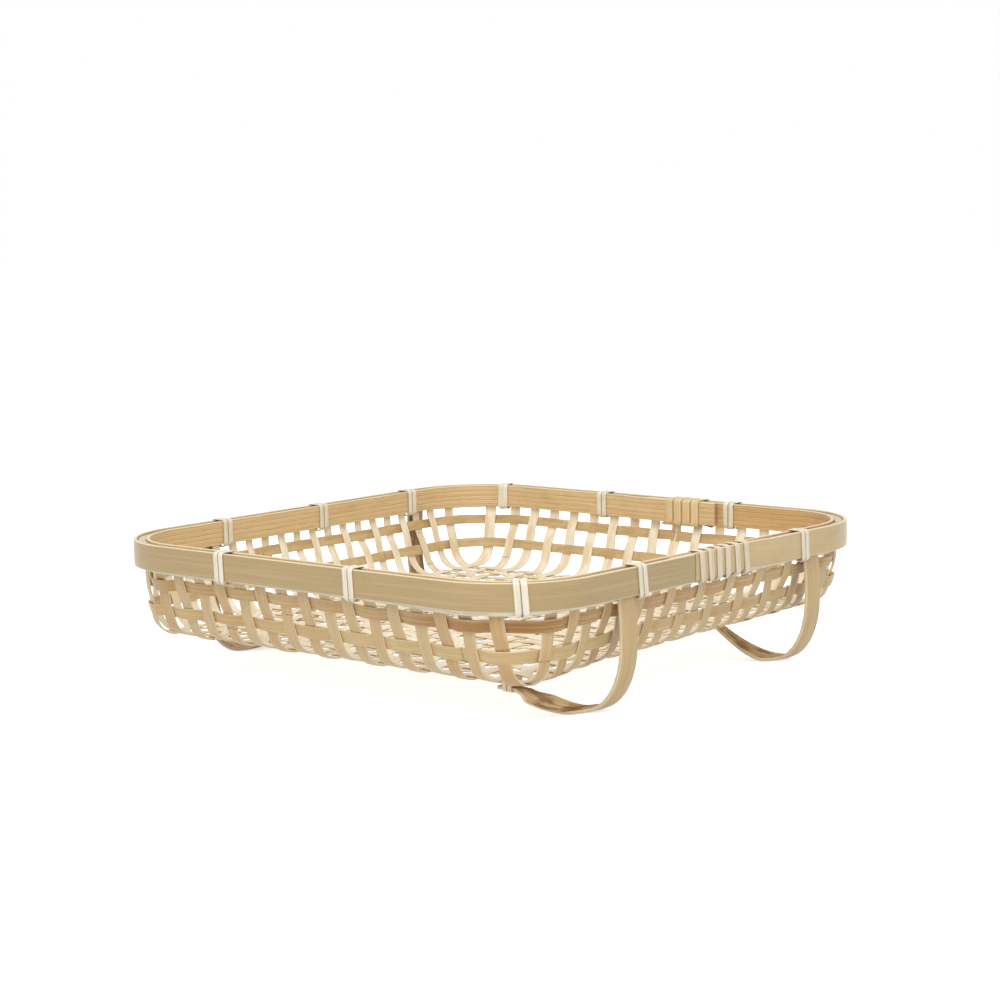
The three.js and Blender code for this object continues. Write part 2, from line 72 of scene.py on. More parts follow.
class Side(Enum):
    """The four sides of the rim, in the order of a place along it."""

    FRONT = 0
    RIGHT = 1
    BACK = 2
    LEFT = 3


class Course(Enum):
    """The two families of splints, named for how they run."""

    ACROSS = "across"
    ALONG = "along"

    @property
    def other(self) -> "Course":
        """The family that it crosses."""
        return Course.ALONG if self is Course.ACROSS else Course.ACROSS


class Row(Enum):
    """The two rows of the wall's weavers."""

    LOWER = "lower"
    UPPER = "upper"


def unit(vectors: Array) -> Array:
    """Each row divided by its own length."""
    return vectors / np.linalg.norm(vectors, axis=-1, keepdims=True)


def column(values: Array | float) -> Array:
    """Values as a column, one row for each station, or one row for all."""
    return np.reshape(values, (-1, 1))


def part_way(value: Array | float, start: float, over: float) -> Array | float:
    """How far a value has come from a start, as a share of a length, held within 0 and 1."""
    return np.clip((value - start) / over, 0.0, 1.0)


def eased(share: Array) -> Array:
    """A smooth step: a share held within 0 and 1, then three times its square less twice its cube."""
    held = np.clip(share, 0.0, 1.0)
    return held * held * (3 - 2 * held)


def lengths_along(points: Array) -> Array:
    """Running length along a line of points, the sum of its steps so far."""
    steps = np.linalg.norm(np.diff(points, axis=0), axis=1)
    return np.concatenate([[0.0], np.cumsum(steps)])


def between(at: Array, length: Array, points: Array) -> Array:
    """Rows at given lengths, in even proportion between the rows on either side."""
    return np.stack([np.interp(at, length, values) for values in points.T], axis=1)


def resampled(points: Array, step: float) -> Array:
    """The same line with points at even lengths, about a step apart, both ends kept."""
    length = lengths_along(points)
    return between(np.linspace(0.0, length[-1], max(int(round(length[-1] / step)), 2) + 1), length, points)


def smoothed(points: Array, reach: int) -> Array:
    """A line eased by a moving average, its two ends kept straight.

    Args:
        points: One row for each point, evenly spaced.
        reach: How many points on each side are averaged.

    Returns:
        The eased points.
    """
    head = 2 * points[0] - points[reach:0:-1]
    tail = 2 * points[-1] - points[-2:-reach - 2:-1]
    padded = np.concatenate([head, points, tail])
    kernel = np.hanning(2 * reach + 3)[1:-1]
    kernel /= kernel.sum()
    return np.stack([np.convolve(values, kernel, "valid") for values in padded.T], axis=1)


def rounded(points: Array, radius: float, step: float) -> Array:
    """A line of straight stretches whose corners are rounded.

    Each corner is replaced by a quadratic curve that starts and ends at most `radius` before and
    after it, and at most half way along the shorter stretch.

    Args:
        points: The corners, one row each.
        radius: How far from a corner its curve starts.
        step: About how far apart the new points lie.

    Returns:
        Points of the rounded line.
    """
    before, corner, after = points[:-2], points[1:-1], points[2:]
    back, ahead = before - corner, after - corner
    room = np.minimum(np.linalg.norm(back, axis=1), np.linalg.norm(ahead, axis=1)) / 2
    cut = np.minimum(radius, room)[:, None]
    start, end = corner + unit(back) * cut, corner + unit(ahead) * cut
    share = np.linspace(0.0, 1.0, 7)[None, :, None]
    curve = ((1 - share) ** 2 * start[:, None] + 2 * share * (1 - share) * corner[:, None]
             + share**2 * end[:, None])
    return resampled(np.concatenate([points[:1], curve.reshape(-1, 3), points[-1:]]), step)


def wander(at: Array, rng: Random, size: float, period: float) -> Array:
    """A slow irregular drift: three sine waves of shrinking size with random phases.

    Args:
        at: Lengths along a strip.
        rng: Source of the phases.
        size: About the largest drift.
        period: Length of the slowest wave.

    Returns:
        The drift at each length.
    """
    phase = rng.uniform(0.0, 2 * math.pi, 3)
    share = np.array([0.55, 0.3, 0.15])
    rate = np.array([1.0, 2.3, 4.1]) * 2 * math.pi / period
    return size * (share * np.sin(at[:, None] * rate + phase)).sum(axis=1)


def joint_marks(at: Array, rng: Random) -> Array:
    """1 at the joints of the bamboo, single stations at random lengths of a strip, and 0 elsewhere."""
    joints = rng.integers(3, len(at) - 3, max(int((at[-1] - at[0]) / JOINT_EVERY), 1))
    return np.isin(np.arange(len(at)), joints).astype(float)


def plateau_wave(at: Array, stops: Array, heights: Array, flat: float, least: float = 0.3) -> Array:
    """A wave that is level at each stop and eases from one to the next in the gap between them.

    Within `flat` of a stop the wave keeps the stop's height; between, it follows a smooth step.

    Args:
        at: Lengths along a strip.
        stops: Rising lengths where the strip crosses another.
        heights: Height of the wave at each stop.
        flat: Half the level stretch at a stop.
        least: Least share of a gap that the smooth step takes.

    Returns:
        Height of the wave at each length.
    """
    index = np.clip(np.searchsorted(stops, at) - 1, 0, len(stops) - 2)
    span = stops[index + 1] - stops[index]
    room = np.maximum(span - 2 * flat, least * span)
    share = eased((at - stops[index] - (span - room) / 2) / room)
    return heights[index] + (heights[index + 1] - heights[index]) * share


@dataclass(frozen=True)
class Section:
    """Cross-section of a strip: two faces with rounded edges.

    The skin face lies on the outer side and may be crowned. The pith face may have grooves that run
    along the strip.
    """

    width: float
    wall: float
    edge: float
    crown: float = 0.0
    grooves: int = 0
    groove_depth: float = 0.0
    face_points: int = 5

    def outline(self) -> dict[str, Array]:
        """Points around the section, from one edge of the skin face.

        A point's place across the strip is `core` times half the straight width, plus `bulge`. The
        skin face rises by the crown times one less the square of the place across. The pith face
        sinks by a row of narrow cosine grooves.

        Returns:
            core, bulge and height of each point, its closeness to an edge, and 1 on the skin face.
        """
        face = np.linspace(-1.0, 1.0, self.face_points)
        half = self.wall / 2
        skin = half + self.crown * (1 - face**2)
        wave = np.cos(face * math.pi * (self.grooves + 0.5))
        pith = -half + self.groove_depth * np.clip(wave, 0.0, 1.0) ** 4
        angle = np.radians([60.0, 30.0, 0.0, 0.0, -30.0, -60.0])
        bulge = self.edge * np.cos(angle)
        turn = np.repeat([half - self.edge, self.edge - half], 3) + self.edge * np.sin(angle)
        ones, none = np.ones(6), np.zeros(self.face_points)
        lit = np.linspace(0.85, 0.15, 6)
        return {
            "core": np.concatenate([face, ones, face[::-1], -ones]),
            "bulge": np.concatenate([none, bulge, none, -bulge]),
            "height": np.concatenate([skin, turn, pith[::-1], turn[::-1]]),
            "edge": np.concatenate([none, ones, none, ones]),
            "skin": np.concatenate([none + 1, lit, none, lit[::-1]]),
        }


@dataclass
class Strip:
    """A strip as a section carried along a path, one row of the arrays for each station."""

    centre: Array
    across: Array
    out: Array
    section: Section
    widths: Array | None = None
    walls: Array | float = 1.0
    # Marks: 1 at the joints of the bamboo, below nought where a strip's end is darkened.
    joint_and_end_marks: Array | float = 0.0
    tone: Array | float = 0.5
    shift: float = 0.0

    def arrays(self) -> dict[str, Array]:
        """Vertices, surface coordinates and attributes of the strip.

        A vertex is the path's point, plus its place across times the across direction, plus its
        height times the outward direction.

        Returns:
            co (stations, points, 3), u along, v around, and the attributes by name.
        """
        points, width, edge = self.section.outline(), self.section.width, self.section.edge
        widths = column(width if self.widths is None else self.widths)
        place = points["core"] * (widths / 2 - edge) + points["bulge"]
        height = points["height"] * column(self.walls)
        height = height + np.sign(height) * column(self.joint_and_end_marks) * JOINT_RISE
        co = (self.centre[:, None] + place[..., None] * self.across[:, None]
              + height[..., None] * self.out[:, None])
        flat = np.stack([points["core"] * (width / 2 - edge) + points["bulge"], points["height"]], axis=1)
        ones = np.ones(co.shape[:2])
        return {
            "co": co,
            "u": lengths_along(self.centre) + self.shift,
            "v": lengths_along(np.concatenate([flat, flat[:1]])),
            "tone": column(self.tone) * ones,
            "skin": points["skin"] * ones,
            "edge": points["edge"] * ones,
            "joint_and_end_mark": column(self.joint_and_end_marks) * ones,
        }


def facing(centre: Array, toward: Array) -> tuple[Array, Array]:
    """Directions across a path and out of it, square to the path.

    The outward direction is `toward` with its share along the path taken off.

    Args:
        centre: Points of the path.
        toward: Rough outward direction at each point.

    Returns:
        The across and the outward directions.
    """
    ahead = unit(np.gradient(centre, axis=0))
    across = unit(np.cross(toward, ahead))
    return across, np.cross(ahead, across)


def strip_mesh(name: str, strip: Strip) -> bpy.types.Mesh:
    """Writes a strip as a closed mesh with its surface coordinates and attributes.

    Args:
        name: Name of the mesh.
        strip: The strip.

    Returns:
        The mesh, in metres, with faces outwards.
    """
    data = strip.arrays()
    rows, cols = data["co"].shape[:2]
    co = data["co"].reshape(-1, 3) * MM
    row, col = (index.ravel() for index in np.indices((rows - 1, cols)))
    start, after = row * cols, (col + 1) % cols
    quads = np.stack([start + col, start + after, start + cols + after, start + cols + col], axis=1)
    u, v = data["u"] * MM, data["v"] * MM
    quad_u = np.stack([u[row], u[row], u[row + 1], u[row + 1]], axis=1)
    quad_v = np.stack([v[col], v[col + 1], v[col + 1], v[col]], axis=1)
    uv = np.stack([quad_u, quad_v], axis=-1)
    first, last = np.arange(cols)[::-1], (rows - 1) * cols + np.arange(cols)
    flat = v[:-1] / v[-1] * 2 * math.pi
    cap_uv = np.stack([u[0] + MM * np.cos(flat), MM * np.sin(flat)], axis=1)
    corners = co[quads]
    areas = np.cross(corners[:, 1:3], corners[:, 2:4]).sum(axis=1)
    if (corners[:, 0] * areas).sum() < 0:
        quads, uv = quads[:, ::-1], uv[:, ::-1]
        first, last, cap_uv = first[::-1], last[::-1], cap_uv[::-1]
    mesh = bpy.data.meshes.new(name)
    mesh.from_pydata(co.tolist(), [], quads.tolist() + [first.tolist(), last.tolist()])
    layer = mesh.uv_layers.new(name=UV_NAME)
    all_uv = np.concatenate([uv.reshape(-1, 2), cap_uv[::-1], cap_uv])
    layer.data.foreach_set("uv", all_uv.astype(np.float32).ravel())
    for key in ("tone", "skin", "edge", "joint_and_end_mark"):
        values = mesh.attributes.new(key, "FLOAT", "POINT")
        values.data.foreach_set("value", data[key].astype(np.float32).ravel())
    mesh.polygons.foreach_set("use_smooth", np.ones(len(mesh.polygons), bool))
    mesh.update()
    mesh.set_sharp_from_angle(angle=CREASE)
    return mesh


class Nodes:
    """A node tree that is built up from nothing."""

    def __init__(self, tree: bpy.types.NodeTree) -> None:
        """Takes a tree and clears it."""
        self.tree = tree
        tree.nodes.clear()

    def feed(self, target: Socket, value: object) -> None:
        """Links a socket to another socket, or sets it to a plain value.

        Args:
            target: The input socket.
            value: A socket, a number, a vector or a colour.
        """
        if isinstance(value, Socket):
            self.tree.links.new(value, target)
        else:
            target.default_value = (*value, 1.0) if target.type == "RGBA" else value

    def add(self, kind: str, output: str | int, inputs: dict[str | int, object], **settings: str) -> Socket:
        """A new node.

        Args:
            kind: The name of its kind, after the word ShaderNode.
            output: Which of its outputs is wanted.
            inputs: What goes into its inputs, by name or number.
            settings: Its settings.

        Returns:
            The wanted output.
        """
        node = self.tree.nodes.new("ShaderNode" + kind)
        for key, value in settings.items():
            setattr(node, key, value)
        for key, value in inputs.items():
            self.feed(node.inputs[key], value)
        return node.outputs[output]

    def maths(self, kind: str, first: object, second: object) -> Socket:
        """Two sockets or numbers put together by the operation of that name."""
        return self.add("Math", "Value", {0: first, 1: second}, operation=kind)

    def background_rays(self) -> Socket:
        """A value that is 1 for the camera's rays and for mirrored and refracted ones, and else 0.

        Returns:
            The largest of the three values that mark those rays.
        """
        path = self.tree.nodes.new("ShaderNodeLightPath")
        shown = path.outputs["Is Camera Ray"]
        for kind in ("Is Glossy Ray", "Is Transmission Ray"):
            shown = self.maths("MAXIMUM", shown, path.outputs[kind])
        return shown


class Shader(Nodes):
    """A material's nodes, with one short method for each kind of node that the finishes use."""

    def __init__(self, name: str) -> None:
        """Starts a material with only its output and a Principled shader.

        Args:
            name: Name of the material.
        """
        self.material = bpy.data.materials.new(name)
        self.material.use_nodes = True
        super().__init__(self.material.node_tree)
        self.output = self.tree.nodes.new("ShaderNodeOutputMaterial")
        self.surface = self.tree.nodes.new("ShaderNodeBsdfPrincipled")
        self.feed(self.output.inputs["Surface"], self.surface.outputs["BSDF"])

    def coat(self, colour: object, rough: object) -> None:
        """Gives the surface its colour and roughness."""
        self.feed(self.surface.inputs["Base Color"], colour)
        self.feed(self.surface.inputs["Roughness"], rough)

    def attribute(self, name: str) -> Socket:
        """The value of one of the mesh's own attributes."""
        return self.add("Attribute", "Fac", {}, attribute_name=name)

    def noise(self, along: float, across: float, detail: float) -> Socket:
        """Noise drawn out along the strip.

        Args:
            along: Grains to the metre along the strip.
            across: Grains to the metre across it.
            detail: How many finer layers are added.

        Returns:
            The noise, around a half.
        """
        strip = self.add("UVMap", "UV", {}, uv_map=UV_NAME)
        place = self.add("Mapping", "Vector", {"Vector": strip, "Scale": (along, across, 1.0)})
        inputs = {"Vector": place, "Scale": 1.0, "Detail": detail}
        return self.add("TexNoise", "Fac", inputs, noise_dimensions="2D")

    def band(self, value: Socket, low: float, high: float, top: float = 1.0) -> Socket:
        """A smooth step of a value, from nought at one bound to the top at the other."""
        inputs = {"Value": value, "From Min": low, "From Max": high, "To Min": 0.0, "To Max": top}
        return self.add("MapRange", "Result", inputs, interpolation_type="SMOOTHSTEP")

    def ramp(self, value: Socket, stops: tuple[tuple[float, Colour], ...]) -> Socket:
        """Colours laid out along a value.

        Args:
            value: The value.
            stops: Places from 0 to 1 with their colours.

        Returns:
            The colour.
        """
        colours = self.add("ValToRGB", "Color", {"Fac": value})
        elements = colours.node.color_ramp.elements
        while len(elements) < len(stops):
            elements.new(0.5)
        for element, (place, colour) in zip(elements, stops):
            element.position = place
            element.color = (*colour, 1.0)
        return colours

    def mix(self, share: object, first: object, second: object) -> Socket:
        """Two colours mixed, with that share of the second."""
        return self.add("Mix", 2, {0: share, 6: first, 7: second}, data_type="RGBA")

    def bump(self, height: Socket, strength: float, distance: float) -> None:
        """Gives the surface a relief that counts so much and stands so many metres proud."""
        inputs = {"Height": height, "Strength": strength, "Distance": distance}
        self.feed(self.surface.inputs["Normal"], self.add("Bump", "Normal", inputs))


def lin(*shown: int) -> Colour:
    """Red, green and blue as a screen shows them, 0 to 255 each, made linear light."""
    return tuple(((c / 255 + 0.055) / 1.055) ** 2.4 if c > 10 else c / 255 / 12.92 for c in shown)


@dataclass(frozen=True)
class Bamboo:
    """Split bamboo: fine fibres, broad streaks, blotches and joint marks, with paler cut edges."""

    name: str
    slot: str
    tones: tuple[tuple[float, Colour], ...]
    pith: Colour
    pith_dark: Colour
    pith_share: float = 0.75
    fibre: Colour = lin(136, 98, 52)
    fibre_share: float = 0.3
    streak: Colour = lin(226, 204, 164)
    streak_share: float = 0.35
    blotch: Colour = lin(168, 124, 70)
    blotch_share: float = 0.25
    cut: Colour = lin(238, 222, 190)
    cut_share: float = 0.6
    mark: Colour = lin(92, 58, 26)
    gloss: float = 0.42
    relief: float = 0.45

    @cache
    def material(self) -> bpy.types.Material:
        """Builds the finish.

        The tone picks the strip's own colour. Three noises drawn out along the strip lay streaks,
        fibres and blotches over it, the mottled pith face and the cut edges get colours of their
        own, joints and the very ends of some strips are darkened, and the fibres also drive the
        roughness and the relief.

        Returns:
            The material.
        """
        shader = Shader(self.name)
        skin, edge, joint_and_end_mark = (shader.attribute(key) for key in ("skin", "edge", "joint_and_end_mark"))
        fibres = shader.noise(34.0, 2900.0, 3.0)
        streaks = shader.noise(9.0, 700.0, 2.0)
        blotches = shader.noise(60.0, 190.0, 4.0)
        flecks = shader.noise(260.0, 3400.0, 1.0)
        drift = shader.maths("SUBTRACT", shader.noise(5.0, 40.0, 1.0), 0.5)
        tone = shader.maths("ADD", shader.attribute("tone"), shader.maths("MULTIPLY", drift, 0.45))
        colour = shader.ramp(tone, self.tones)
        colour = shader.mix(shader.band(streaks, 0.48, 0.72, self.streak_share), colour, self.streak)
        colour = shader.mix(shader.band(fibres, 0.5, 0.78, self.fibre_share), colour, self.fibre)
        colour = shader.mix(shader.band(blotches, 0.55, 0.8, self.blotch_share), colour, self.blotch)
        colour = shader.mix(shader.band(flecks, 0.72, 0.8, 0.35), colour, self.mark)
        inside = shader.mix(shader.band(blotches, 0.4, 0.62), self.pith, self.pith_dark)
        inside = shader.mix(shader.band(fibres, 0.5, 0.78, 0.5 * self.fibre_share), inside, self.fibre)
        inner = shader.maths("MULTIPLY", shader.maths("SUBTRACT", 1.0, skin), self.pith_share)
        inner = shader.maths("MULTIPLY", inner, shader.band(tone, 1.9, 0.35))
        colour = shader.mix(inner, colour, inside)
        colour = shader.mix(shader.maths("MULTIPLY", edge, self.cut_share), colour, self.cut)
        joint = shader.maths("MULTIPLY", shader.band(joint_and_end_mark, 0.3, 1.0), shader.band(streaks, 0.3, 0.6, 0.7))
        colour = shader.mix(joint, colour, self.fibre)
        # Darkens the very ends of a strip, where the joint and end marks are below nought.
        colour = shader.mix(shader.band(joint_and_end_mark, -0.2, -1.0, 0.8), colour, self.mark)
        rough = shader.maths("ADD", shader.maths("MULTIPLY", fibres, 0.22), self.gloss - 0.06)
        shader.coat(colour, shader.maths("SUBTRACT", rough, shader.maths("MULTIPLY", skin, 0.06)))
        fine, broad = shader.maths("MULTIPLY", fibres, 0.6), shader.maths("MULTIPLY", streaks, 0.5)
        shader.bump(shader.maths("ADD", fine, broad), self.relief, 0.0004)
        return shader.material


@dataclass(frozen=True)
class Cane:
    """Split cane: pale, smooth and rounded, with fine lines along it and painted shade on its edges."""

    name: str
    slot: str
    body: Colour
    light: Colour
    warm: Colour
    # Colour of the fine lines, also laid on the edges as painted shade.
    line: Colour
    line_share: float = 0.4
    gloss: float = 0.45
    relief: float = 0.35

    @cache
    def material(self) -> bpy.types.Material:
        """Builds the finish.

        A slow noise goes from the body's colour to the lighter one, the tone takes it to the warm
        one, a fine noise drawn out along the cane lays lines over it, and the edges are darkened
        with the lines' colour as painted shade.

        Returns:
            The material.
        """
        shader = Shader(self.name)
        lines = shader.noise(30.0, 3600.0, 2.0)
        clouds = shader.noise(60.0, 260.0, 3.0)
        colour = shader.mix(shader.band(clouds, 0.35, 0.65), self.body, self.light)
        colour = shader.mix(shader.attribute("tone"), colour, self.warm)
        colour = shader.mix(shader.band(lines, 0.48, 0.75, self.line_share), colour, self.line)
        # Painted shade: the cane's rounded edges are darkened with the lines' colour.
        colour = shader.mix(shader.maths("MULTIPLY", shader.attribute("edge"), 0.45), colour, self.line)
        shader.coat(colour, shader.maths("ADD", shader.maths("MULTIPLY", lines, 0.25), self.gloss - 0.1))
        shader.bump(lines, self.relief, 0.0003)
        return shader.material


SPLINT_FINISH = Bamboo(
    name="splint_bamboo",
    slot="splint_bamboo",
    tones=((0.0, lin(201, 179, 133)), (0.3, lin(207, 180, 131)), (0.55, lin(205, 173, 122)),
           (0.8, lin(193, 154, 98)), (1.0, lin(178, 133, 76))),
    pith=lin(248, 237, 214),
    pith_dark=lin(238, 218, 180),
    pith_share=0.95,
    fibre_share=0.26,
)
WEAVER_FINISH = Bamboo(
    name="weaver_bamboo",
    slot="weaver_bamboo",
    tones=((0.0, lin(213, 188, 134)), (0.5, lin(194, 157, 100)), (1.0, lin(154, 103, 42))),
    pith=lin(208, 181, 132),
    pith_dark=lin(192, 161, 111),
)
OUTER_FINISH = Bamboo(
    name="outer_hoop_bamboo",
    slot="hoop_bamboo",
    tones=((0.0, lin(174, 156, 108)), (0.35, lin(179, 153, 107)), (0.8, lin(207, 182, 134)),
           (1.0, lin(211, 186, 140))),
    pith=lin(214, 186, 140),
    pith_dark=lin(204, 174, 128),
    fibre_share=0.16,
    streak=lin(212, 190, 148),
    streak_share=0.22,
    blotch_share=0.08,
    cut_share=0.8,
    gloss=0.36,
    relief=0.22,
)
INNER_FINISH = Bamboo(
    name="inner_hoop_bamboo",
    slot="inner_hoop_bamboo",
    tones=((0.0, lin(222, 190, 140)), (0.5, lin(218, 187, 136)), (1.0, lin(203, 163, 105))),
    pith=lin(232, 204, 156),
    pith_dark=lin(226, 194, 144),
    pith_share=0.0,
    cut_share=0.65,
)
FOOT_FINISH = Bamboo(
    name="foot_bamboo",
    slot="foot_bamboo",
    tones=((0.0, lin(194, 165, 114)), (0.5, lin(200, 171, 120)), (1.0, lin(196, 161, 108))),
    pith=lin(218, 186, 136),
    # The dark pith colour is partly the tails' own mottle and partly painted shade of their shadowed inner
    # face.
    pith_dark=lin(142, 100, 56),
    pith_share=0.95,
    fibre_share=0.35,
)
PALE_CANE = Cane(
    name="pale_cane",
    slot="pale_cane",
    body=lin(234, 225, 203),
    light=lin(243, 237, 221),
    warm=lin(224, 206, 170),
    line=lin(170, 146, 108),
)
NATURAL_CANE = Cane(
    name="natural_cane",
    slot="natural_cane",
    body=lin(228, 200, 152),
    light=lin(236, 212, 166),
    warm=lin(222, 190, 138),
    line=lin(180, 142, 94),
)


def place_piece(name: str, strip: Strip, finish: Bamboo | Cane, node: str = "") -> None:
    """Makes a strip a piece of the basket, in place of its plain node where it has one.

    Args:
        name: Name of the piece.
        strip: Its shape.
        finish: Its finish, which also names its material slot.
        node: The node that it stands for.
    """
    mesh = strip_mesh(name, strip)
    mesh.materials.append(finish.material())
    piece = bpy.data.objects.new(name, mesh)
    bpy.context.scene.collection.objects.link(piece)
    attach(piece, BODY)
    if node:
        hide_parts(node)
    LOG.info("%s: %d faces", name, len(mesh.polygons))


def box_mm(node: str) -> tuple[Array, Array]:
    """Lowest and highest corner of a plain node, in millimetres."""
    low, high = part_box(node)
    return np.array(low) / MM, np.array(high) / MM


@dataclass
class Rim:
    """The rounded square that the hoops follow.

    A place is a length along its outside from the front's middle, rightwards.
    """

    side: float
    corner: float = 50.0
    tries: int = 8001

    @property
    def core(self) -> float:
        """Half the straight length of a side."""
        return self.side / 2 - self.corner

    @property
    def quarter(self) -> float:
        """Length from the middle of one side to the middle of the next."""
        return 2 * self.core + self.corner * math.pi / 2

    def at(self, place: Array, inset: Array | float) -> tuple[Array, Array]:
        """Points and outward directions at places of the rim.

        On a straight stretch a point lies straight out from the middle. Past it, the point goes
        round a quarter circle whose radius is the corner's less the inset.

        Args:
            place: Places along the rim.
            inset: How far inside the rim's outside each point lies.

        Returns:
            Points and outward directions, in the level plane with zero height.
        """
        face = np.rint(place / self.quarter)
        local = place - face * self.quarter
        hand = np.sign(local)
        turn = np.maximum(np.abs(local) - self.core, 0.0) / self.corner
        radius = self.corner - inset
        beside = hand * (np.minimum(np.abs(local), self.core) + radius * np.sin(turn))
        forward = self.core + radius * np.cos(turn)
        angle = (face - 1) * math.pi / 2
        zero = np.zeros_like(place)
        out = np.stack([np.cos(angle), np.sin(angle), zero], axis=1)
        run = np.stack([-np.sin(angle), np.cos(angle), zero], axis=1)
        point = out * forward[:, None] + run * beside[:, None]
        normal = out * np.cos(turn)[:, None] + run * (hand * np.sin(turn))[:, None]
        return point, normal

    def place_on(self, side: Side, along: Array) -> Array:
        """Places on one side whose points lie so far along it.

        Past the straight stretch, the place grows by the corner's radius times the angle whose sine
        is the distance past it over that radius.

        Args:
            side: The side.
            along: Distances from the side's middle.

        Returns:
            The places.
        """
        turn = np.arcsin(np.maximum(np.abs(along) - self.core, 0.0) / self.corner)
        straight = np.minimum(np.abs(along), self.core)
        return side.value * self.quarter + np.sign(along) * (straight + self.corner * turn)

    def nearest(self, point: Array, inset: float) -> float:
        """The place whose point, so far inside the rim's outside, lies nearest to a given one."""
        place = np.linspace(-0.5 * self.quarter, 3.5 * self.quarter, self.tries)
        return float(place[np.argmin(np.linalg.norm((self.at(place, inset)[0] - point)[:, :2], axis=1))])


@dataclass
class Tray:
    """The woven tray: a level base whose edge is rounded up into a wall that leans out to the rim.

    An irregularity is its size and the length of its slowest wave, and a slope its start and length.
    """

    rim: Rim
    across_at: Array
    along_at: Array
    rows: dict[Row, float]
    base: float = 19.5
    bend: float = 13.0
    lean: float = math.radians(18.0)
    squarer: float = 14.0
    wall_in: float = 6.05
    rim_low: float = 55.0
    splint_top: float = 69.0
    across_width: float = 7.5
    along_width: float = 6.2
    section: Section = Section(width=7.0, wall=0.75, edge=0.22, crown=0.1)
    weave: float = 0.5
    round_out: float = 0.55
    narrowing: float = 0.2
    flat: float = 4.2
    step: float = 1.2
    tones: tuple[float, float] = (0.42, 0.24)
    sway: tuple[float, float] = (1.4, 230.0)
    uneven: tuple[float, float] = (0.4, 180.0)
    calm_over: float = 20.0
    back_lift: float = 3.5
    back_slope: tuple[float, float] = (-110.0, 220.0)
    right_lift: float = 2.6
    right_slope: tuple[float, float] = (50.0, 70.0)
    front_slope: tuple[float, float] = (-115.0, 45.0)
    weaver_least: float = 5.5
    weaver_more: float = 1.4
    weaver_sway: tuple[float, float] = (0.5, 210.0)
    weaver_uneven: tuple[float, float] = (0.3, 190.0)
    weaver_drift: tuple[float, float] = (0.12, 160.0)
    corner_tone: float = 0.45
    corner_reach: float = 48.0

    @property
    def bend_top(self) -> float:
        """Height where the rounded edge ends and the wall begins."""
        return self.base + self.bend * (1 - math.sin(self.lean))

    def plan_at(self, height: Array) -> tuple[Array, Array, Array]:
        """Plan of the tray at heights of its wall.

        Below the rim the wall leans in by the tangent of its lean, and the rounded edge takes off
        the bend times what the sine of its turn lacks of the wall's. The straight length of a side
        grows evenly down the wall.

        Args:
            height: The heights.

        Returns:
            Half the straight length of a side, half its whole length, and the turn from level.
        """
        turn = np.arccos(np.clip(1 - (height - self.base) / self.bend, math.sin(self.lean), 1.0))
        down = self.rim_low - np.clip(height, self.bend_top, self.rim_low)
        lacking = self.bend * (math.cos(self.lean) - np.sin(turn))
        half = self.rim.side / 2 - self.wall_in - down * math.tan(self.lean) - lacking
        return self.rim.core + self.squarer * down / (self.rim_low - self.bend_top), half, turn

    def profile(self, side: float) -> tuple[Array, Array, int]:
        """Half the line of a splint that keeps to one upright plane, from its middle to its top.

        The base is level, and the rest follows the plan at each height. In the rim the splint
        stands upright.

        Args:
            side: Distance of the plane from the middle.

        Returns:
            Run, side and height of each point, its outward direction, and how many points are level.
        """
        turn = np.linspace(0.0, math.pi / 2 - self.lean, 160)
        wall = np.linspace(self.bend_top, self.rim_low, 80)[1:]
        rise = np.linspace(self.rim_low, self.splint_top, 40)[1:]
        height = np.concatenate([self.base + self.bend * (1 - np.cos(turn)), wall, rise])
        core, half, turns = self.plan_at(height)
        turns[-len(rise):] = math.pi / 2
        past = np.maximum(abs(side) - core, 0.0)
        ahead = np.sqrt((half - core) ** 2 - past**2)
        share = np.sin(turns) / (half - core)
        level = np.linspace(0.0, core[0] + ahead[0], 200)[:-1]
        line = np.stack([np.concatenate([level, core + ahead]), np.full(len(level) + len(height), side),
                         np.concatenate([np.full_like(level, self.base), height])], axis=1)
        out = np.stack([ahead * share, np.copysign(past, side) * share, -np.cos(turns)], axis=1)
        return line, np.concatenate([np.tile(-UP, (len(level), 1)), out]), len(level)

    def lift(self, x: Array | float, y: Array | float) -> Array | float:
        """Height added to the base: a slope to the back, and one to the right that fades at the front."""
        right = part_way(x, *self.right_slope) * part_way(y, *self.front_slope)
        return self.back_lift * part_way(y, *self.back_slope) + self.right_lift * right

    def lifted(self, points: Array) -> Array:
        """Points moved up by the lift, in full at the base and less and less up to the rim."""
        share = np.clip((self.rim_low - points[:, 2]) / (self.rim_low - self.base), 0.0, 1.0)
        return points + column(self.lift(points[:, 0], points[:, 1]) * share) * UP

    def base_sign(self, course: Course, mine: int, other: int) -> float:
        """Whether a splint passes outside (1) or inside (-1) of another that it crosses on the base."""
        sign = 1.0 if (mine + other) % 2 == 0 else -1.0
        return sign if course is Course.ACROSS else -sign

    def sides(self, course: Course) -> Array:
        """Where the splints of a family lie."""
        return self.across_at if course is Course.ACROSS else self.along_at

    def end_sign(self, course: Course, index: int, far: bool) -> float:
        """The sign of a splint's last crossing on the base, at one end of it."""
        return self.base_sign(course, index, len(self.sides(course.other)) - 1 if far else 0)

